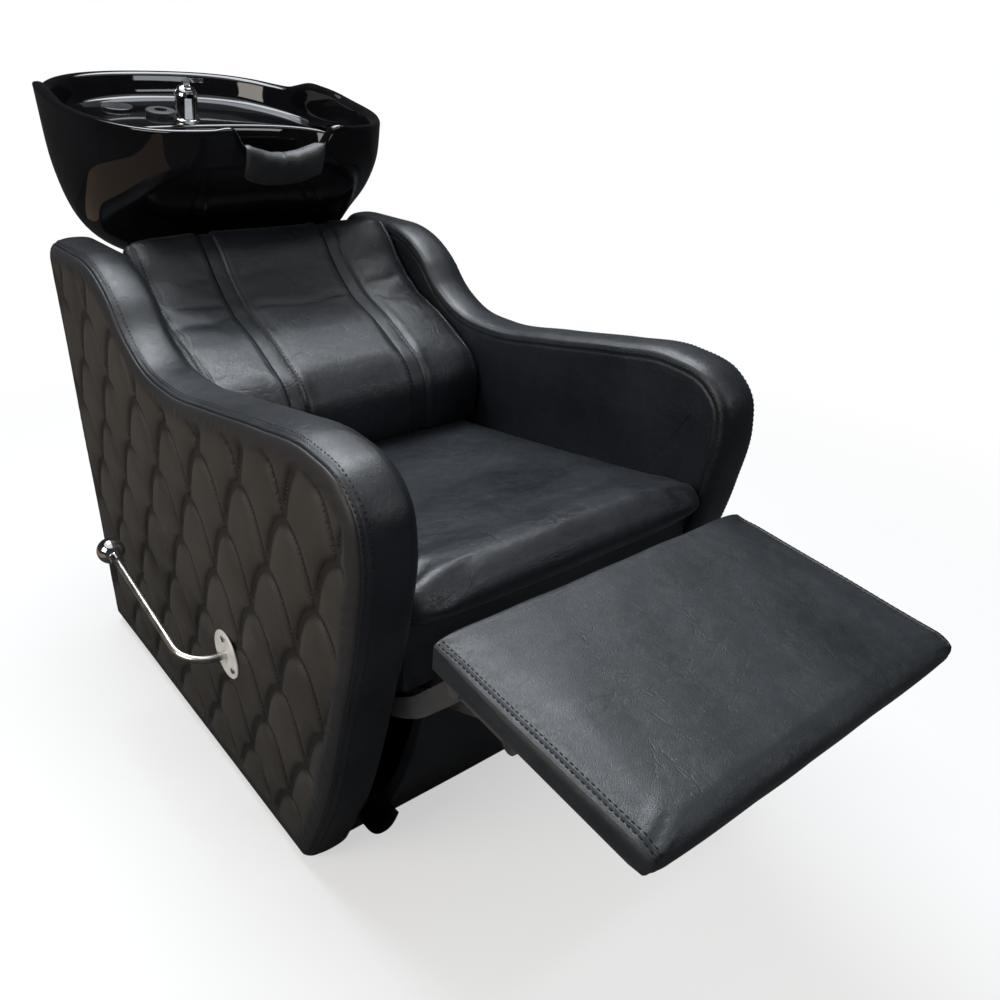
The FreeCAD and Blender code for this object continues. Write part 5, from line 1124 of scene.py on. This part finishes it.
def steady(x, xs, ys):
    """Monotone cubic through a table: slopes are harmonic means, so it never overshoots."""
    step = np.diff(xs)
    rise = np.diff(ys, axis=0) / step[:, None]
    product, total = rise[:-1] * rise[1:], rise[:-1] + rise[1:]
    inner = np.where(product > 0, 2 * product / np.where(np.abs(total) < 1e-9, 1, total), 0.0)
    slope = np.vstack((rise[:1], inner, rise[-1:]))
    k = np.clip(np.searchsorted(xs, x) - 1, 0, len(step) - 1)
    t = np.clip((x - xs[k]) / step[k], 0, 1)[..., None]
    h = step[k][..., None]
    return ((2 * t**3 - 3 * t**2 + 1) * ys[k] + (t**3 - 2 * t**2 + t) * h * slope[k]
            + (3 * t**2 - 2 * t**3) * ys[k + 1] + (t**3 - t**2) * h * slope[k + 1])


def ring_at(z, table, inset=0.0):
    """Ring at heights z (one for each plan point): the plan scaled by the table's row there."""
    share = steady((z - FOOT) / TALL, table[:, 0], table[:, 1:])
    x = PLAN[:, 0] * (WIDE * share[:, 0] - inset)
    y = PLAN[:, 1] * np.where(PLAN[:, 1] > 0, BEHIND * share[:, 2] - inset, AHEAD * share[:, 1] - inset)
    return np.stack((x, y, z), -1)


# %% Basin: heights of the rim, the notch and the deck
rim_z = np.full(len(PLAN), 980.0)
for _ in range(6):
    y = ring_at(rim_z, WALL)[:, 1]
    rim_z = FOOT + np.interp(np.where(y > 0, y / BEHIND, y / AHEAD) * AHEAD, rim_curve[:, 0], rim_curve[:, 1])
lip = ring_at(rim_z, WALL)
NOTCH_X = (0, 20, 40, 58, 70, 77, 82, 87, 94, 120)
NOTCH_Z = (899, 900, 904.5, 912, 920.5, 929, 939, 952, 972, 1100)
notch = np.where(PLAN[:, 1] < 0, np.interp(np.abs(lip[:, 0]), NOTCH_X, NOTCH_Z), 1200.0)
# The lower of rim and notch, joined smoothly: -s log(exp(-a/s) + exp(-b/s)), about a middle height.
SMOOTH, MIDWAY = 3.0, 950
rim_z = MIDWAY - SMOOTH * np.log(np.exp(-(rim_z - MIDWAY) / SMOOTH)
                                 + np.exp(-np.clip(notch - MIDWAY, -90, 200) / SMOOTH))
rim_z = rim_z + 3.0 * bell(np.abs(lip[:, 0]), 99, 13) * (PLAN[:, 1] < 0)
behind = smoothstep(0.02, 0.36, PLAN[:, 1])


def deck_z(y):
    """Height of the sloping deck behind the bowl."""
    return 921.0 + (y - 76.0) * math.tan(math.radians(11.0))


print("rim from", rim_z.min().round(), "to", rim_z.max().round())

# %% Basin: the rings from foot to drain
DRAIN = np.array((0.0, -40.0))
LIP_DROP, INNER_DROP = 9.0, 13.0
aim = PLAN / np.linalg.norm(PLAN, axis=1)[:, None]


def drain_ring(radius, z):
    """Circle round the drain, in step with the plan's points."""
    return np.concatenate((aim * radius + DRAIN, np.full((len(aim), 1), z)), 1)


rings = [drain_ring(24.0, 716.0), ring_at(np.full(len(PLAN), FOOT + 0.2), WALL, 6.0)]
for share in (0.006, 0.03, 0.08, 0.16, 0.26, 0.37, 0.48, 0.60, 0.71, 0.80, 0.88, 0.94):
    rings.append(ring_at(FOOT + share * (rim_z - LIP_DROP - FOOT), WALL))
outer_lip = ring_at(rim_z - LIP_DROP, WALL)
inner_front = ring_at(rim_z - INNER_DROP, BOWL)
rear_lip = ring_at(rim_z - LIP_DROP, WALL, 21.0)
inner_lip = np.concatenate((inner_front[:, :2] * (1 - behind)[:, None] + rear_lip[:, :2] * behind[:, None],
                            (rim_z - INNER_DROP)[:, None]), 1)
for angle in np.linspace(0, math.pi, 13):
    share = (1 - math.cos(angle)) / 2
    ring = outer_lip * (1 - share) + inner_lip * share
    bulge = 1.6 * math.sin(angle * 2) * (angle < math.pi / 2)
    ring[:, :2] += aim * bulge
    ring[:, 2] += 9.5 * math.sin(angle) ** 0.9
    rings.append(ring)


def inside_ring(drop, rear_inset, rear_rise, rear_share=None):
    """Inner ring: the bowl's own wall in front; behind, a place on the deck or the wall above it."""
    z_front = np.minimum(rim_z - INNER_DROP - drop, 935.0 - drop * 0.2)
    ahead = ring_at(z_front, BOWL)
    wall = ring_at(rim_z - LIP_DROP, WALL, rear_inset)
    if rear_share is not None:
        edge = np.stack((PLAN[:, 0] * WIDE * rear_share[0], PLAN[:, 1] * BEHIND * rear_share[1]), -1)
        wall = np.concatenate((edge, wall[:, 2:]), 1)
    wall[:, 2] = np.minimum(deck_z(wall[:, 1]) + rear_rise, rim_z - 12.0)
    return ahead * (1 - behind)[:, None] + wall * behind[:, None]


for drop, inset, rise in ((3, 22.5, 30), (6, 24.0, 14), (9, 27.0, 5), (12, 33.0, 1.0), (14, 42.0, 0.0)):
    rings.append(inside_ring(drop, inset, rise))
deck_rear, deck_front = inside_ring(14, 42.0, 0.0), inside_ring(26, 0, 0.0, (0.935, 0.325))
for share in (0.2, 0.4, 0.6, 0.8):
    rings.append(deck_rear * (1 - share) + deck_front * share)
rings += [deck_front, inside_ring(28, 0, -0.8, (0.925, 0.308)), inside_ring(31, 0, -4.0, (0.918, 0.296))]
last = rings[-1]
for z in (893.0, 870.0, 845.0, 820.0, 800.0, 780.0, 766.0, 756.0, 748.0, 742.0, 737.5):
    height = np.minimum(last[:, 2] - 4.0, z)
    last = ring_at(height, BOWL)
    rings.append(last)
floor_ring = ring_at(np.full(len(PLAN), 733.5), BOWL)
for share in (0.25, 0.5, 0.75, 0.93):
    rings.append(floor_ring * (1 - share) + drain_ring(26.0, 731.6) * share)
rings += [drain_ring(25.0, 731.2), drain_ring(24.0, 729.0), drain_ring(24.0, 716.0)]
stack = np.array(rings)
print("basin rings:", stack.shape)

# %% [markdown]
# The rings are guides. A monotone cubic through them, ring by ring, gives the glazed skin, so
# the deck stays flat and the walls don't ripple. The grid is then smoothed a little.

# %% Basin: skin
FINE = 3
order = np.arange(len(stack), dtype=float)
at = np.arange((len(stack) - 1) * FINE + 1) / FINE
skin = steady(at, order, stack.reshape(len(stack), -1)).reshape(len(at), len(PLAN), 3)
for _ in range(3):
    middle = (np.roll(skin, 1, 1) + np.roll(skin, -1, 1)) / 2
    skin = 0.5 * skin + 0.5 * middle
    eased = skin[1:-1] * 0.5 + (skin[:-2] + skin[2:]) * 0.25
    skin[1 + 2 * FINE:-1 - 4 * FINE] = eased[2 * FINE:-4 * FINE]
skin = np.concatenate((skin, skin[:, :1]), 1)
make_piece("basin_shell", [skin], "black_ceramic", "basin_bowl", ["basin"])

# %% [markdown]
# The neck saddle lies in the notch: soft leather over foam, hooked over the rim and hanging down
# the front. It is the basin's own skin, lifted off along the normals, thickest on the rim.

# %% Neck saddle
normals = grid_normals(skin)
centre_of_rim = 20 * FINE
probe = normals[centre_of_rim, len(PLAN) // 2]
if probe[2] < 0:
    normals = -normals
near = np.where((np.abs(skin[centre_of_rim, :, 0]) < 69) & (skin[centre_of_rim, :, 1] < 0))[0]
columns = np.concatenate((near[near > len(PLAN) // 2], near[near <= len(PLAN) // 2]))
rows = np.arange(11 * FINE, 31 * FINE)
patch, lift = skin[np.ix_(rows, columns)], normals[np.ix_(rows, columns)]
drop = patch[..., 2] > skin[centre_of_rim, near, 2].min() - 60
used = np.where(drop[:, len(columns) // 2])[0]
patch, lift = patch[used], lift[used]
side = np.linspace(-1, 1, patch.shape[1])[None, :, None]
end = np.linspace(-1, 1, patch.shape[0])[:, None, None]
round_off = np.clip((1 - np.abs(side) ** 6) * (1 - np.abs(end) ** 10), 0, 1) ** 0.5
puff = 1.0 + 8.5 * round_off + 0.5 * np.sin(side * 14) * np.sin(end * 11)
over, beneath = patch + lift * puff, patch + lift * 0.5
rim_strip = [np.stack((over[0], beneath[0])), np.stack((over[-1], beneath[-1])),
             np.stack((over[:, 0], beneath[:, 0])), np.stack((over[:, -1], beneath[:, -1]))]
make_piece("neck_saddle", [over, beneath] + rim_strip, "saddle_leather", "basin_bowl",
           ["neck_rest"])

# %% [markdown]
# ## Studio
# A pale floor and a white background. The lamps are large and soft, placed where the photograph
# shows highlights: one above and behind the seat, a warm one at the quilted side, a strip ahead.


# %% Floor and world
def looked_at(tree):
    """1 for camera, glossy and transmission rays, 0 for the rays that carry light."""
    rays = tree.nodes.new("ShaderNodeLightPath").outputs
    return maths(tree, "MAXIMUM", rays["Is Camera Ray"],
                 maths(tree, "MAXIMUM", rays["Is Glossy Ray"], rays["Is Transmission Ray"]))


world = bpy.data.worlds.new("studio")
bpy.context.scene.world = world
world.use_nodes = True
tree = world.node_tree
backdrop = tree.nodes["Background"]
backdrop.inputs["Color"].default_value = (1, 1, 1, 1)
level = maths(tree, "ADD", times(tree, looked_at(tree), 0.76), 0.24)
tree.links.new(level, backdrop.inputs["Strength"])


def flag(name, points, faces, shade, glow=None):
    """A card as photographers use: it shows only in reflections, dark to keep blacks deep, or warm."""
    mesh = bpy.data.meshes.new(name)
    mesh.from_pydata(points, [], faces)
    cloth = bpy.data.materials.new(name)
    cloth.use_nodes = True
    shader = cloth.node_tree.nodes["Principled BSDF"]
    shader.inputs["Base Color"].default_value = (shade, shade, shade, 1)
    shader.inputs["Specular IOR Level"].default_value = 0.0
    shader.inputs["Roughness"].default_value = 1.0
    if glow:
        shader.inputs["Emission Color"].default_value = (*glow, 1)
        shader.inputs["Emission Strength"].default_value = 1.0
    mesh.materials.append(cloth)
    card = placed(name, mesh)
    for ray in ("camera", "diffuse", "transmission", "shadow", "volume_scatter"):
        setattr(card, "visible_" + ray, False)


TURNS, ROOM = 32, 3.4


def circle(z):
    """Points round the room at a height."""
    return [(ROOM * math.cos(t), ROOM * math.sin(t), z) for t in np.linspace(0, 2 * math.pi, TURNS + 1)[:-1]]


wall_faces = [(k, (k + 1) % TURNS, TURNS + (k + 1) % TURNS, TURNS + k) for k in range(TURNS)]
flag("flag_wall", circle(-0.4) + circle(4.2), wall_faces, 0.05)
flag("flag_floor", circle(0.002), [tuple(range(TURNS))], 0.04)
# The warm card glows and shows only in reflections: a painted warm reflection on the basin and the quilted
# side.
flag("warm_card", [(-3.0, -0.9, 0.01), (-0.85, -0.1, 0.01), (-0.75, 2.2, 0.01), (-2.6, 2.6, 0.01)],
     [(0, 1, 2, 3)], 0.0, (0.28, 0.20, 0.145))

floor_mesh = bpy.data.meshes.new("floor")
floor_mesh.from_pydata([(-9, -9, 0), (9, -9, 0), (9, 9, 0), (-9, 9, 0)], [], [(0, 1, 2, 3)])
floor_mat = bpy.data.materials.new("floor_paint")
floor_mat.use_nodes = True
tree = floor_mat.node_tree
shader = tree.nodes["Principled BSDF"]
shader.inputs["Roughness"].default_value = 0.8
tone = node(tree, "ShaderNodeTexNoise", [("Scale", 3.0)]).outputs["Fac"]
paint(tree, shader, mixed(tree, tone, (0.88, 0.88, 0.88), (0.92, 0.92, 0.92)))
spot_on = node(tree, "ShaderNodeVectorMath", [(0, tree.nodes.new("ShaderNodeTexCoord").outputs["Object"])],
               operation="LENGTH").outputs["Value"]
pale = remap(tree, spot_on, 0.5, 2.2, 0.55, 1.0)
glow = node(tree, "ShaderNodeEmission", [("Color", (1, 1, 1, 1)), ("Strength", 1.0)])
blend = node(tree, "ShaderNodeMixShader",
             [(0, times(tree, pale, looked_at(tree))), (1, shader.outputs[0]), (2, glow.outputs[0])])
tree.links.new(blend.outputs[0], tree.nodes["Material Output"].inputs["Surface"])
floor_mesh.materials.append(floor_mat)
floor = placed("floor", floor_mesh)


# %% Lamps
def lamp(name, place, target, size, power, colour=(1, 1, 1)):
    """A soft rectangular lamp at a place, aimed at a target."""
    light = bpy.data.lights.new(name, "AREA")
    light.shape, light.size, light.size_y = "RECTANGLE", size[0], size[1]
    light.energy, light.color = power, colour
    aimed = (Vector(place) - Vector(target)).to_track_quat("Z", "Y").to_matrix().to_4x4()
    placed(name, light).matrix_world = Matrix.Translation(place) @ aimed


lamp("ceiling", (0.15, 0.9, 2.9), (0.05, -0.2, 0.5), (2.0, 1.4), 104, (0.88, 0.94, 1.0))
lamp("side_fill", (-2.4, -0.3, 1.5), (-0.2, 0.0, 0.4), (1.6, 1.2), 34, (1.0, 0.93, 0.85))
lamp("front_strip", (0.9, -2.7, 2.2), (0.1, -0.6, 0.4), (1.8, 0.5), 16, (0.92, 0.96, 1.0))

# %% [markdown]
# Last: the look of the render.

# %% Finish
bpy.context.scene.view_settings.view_transform = "Standard"
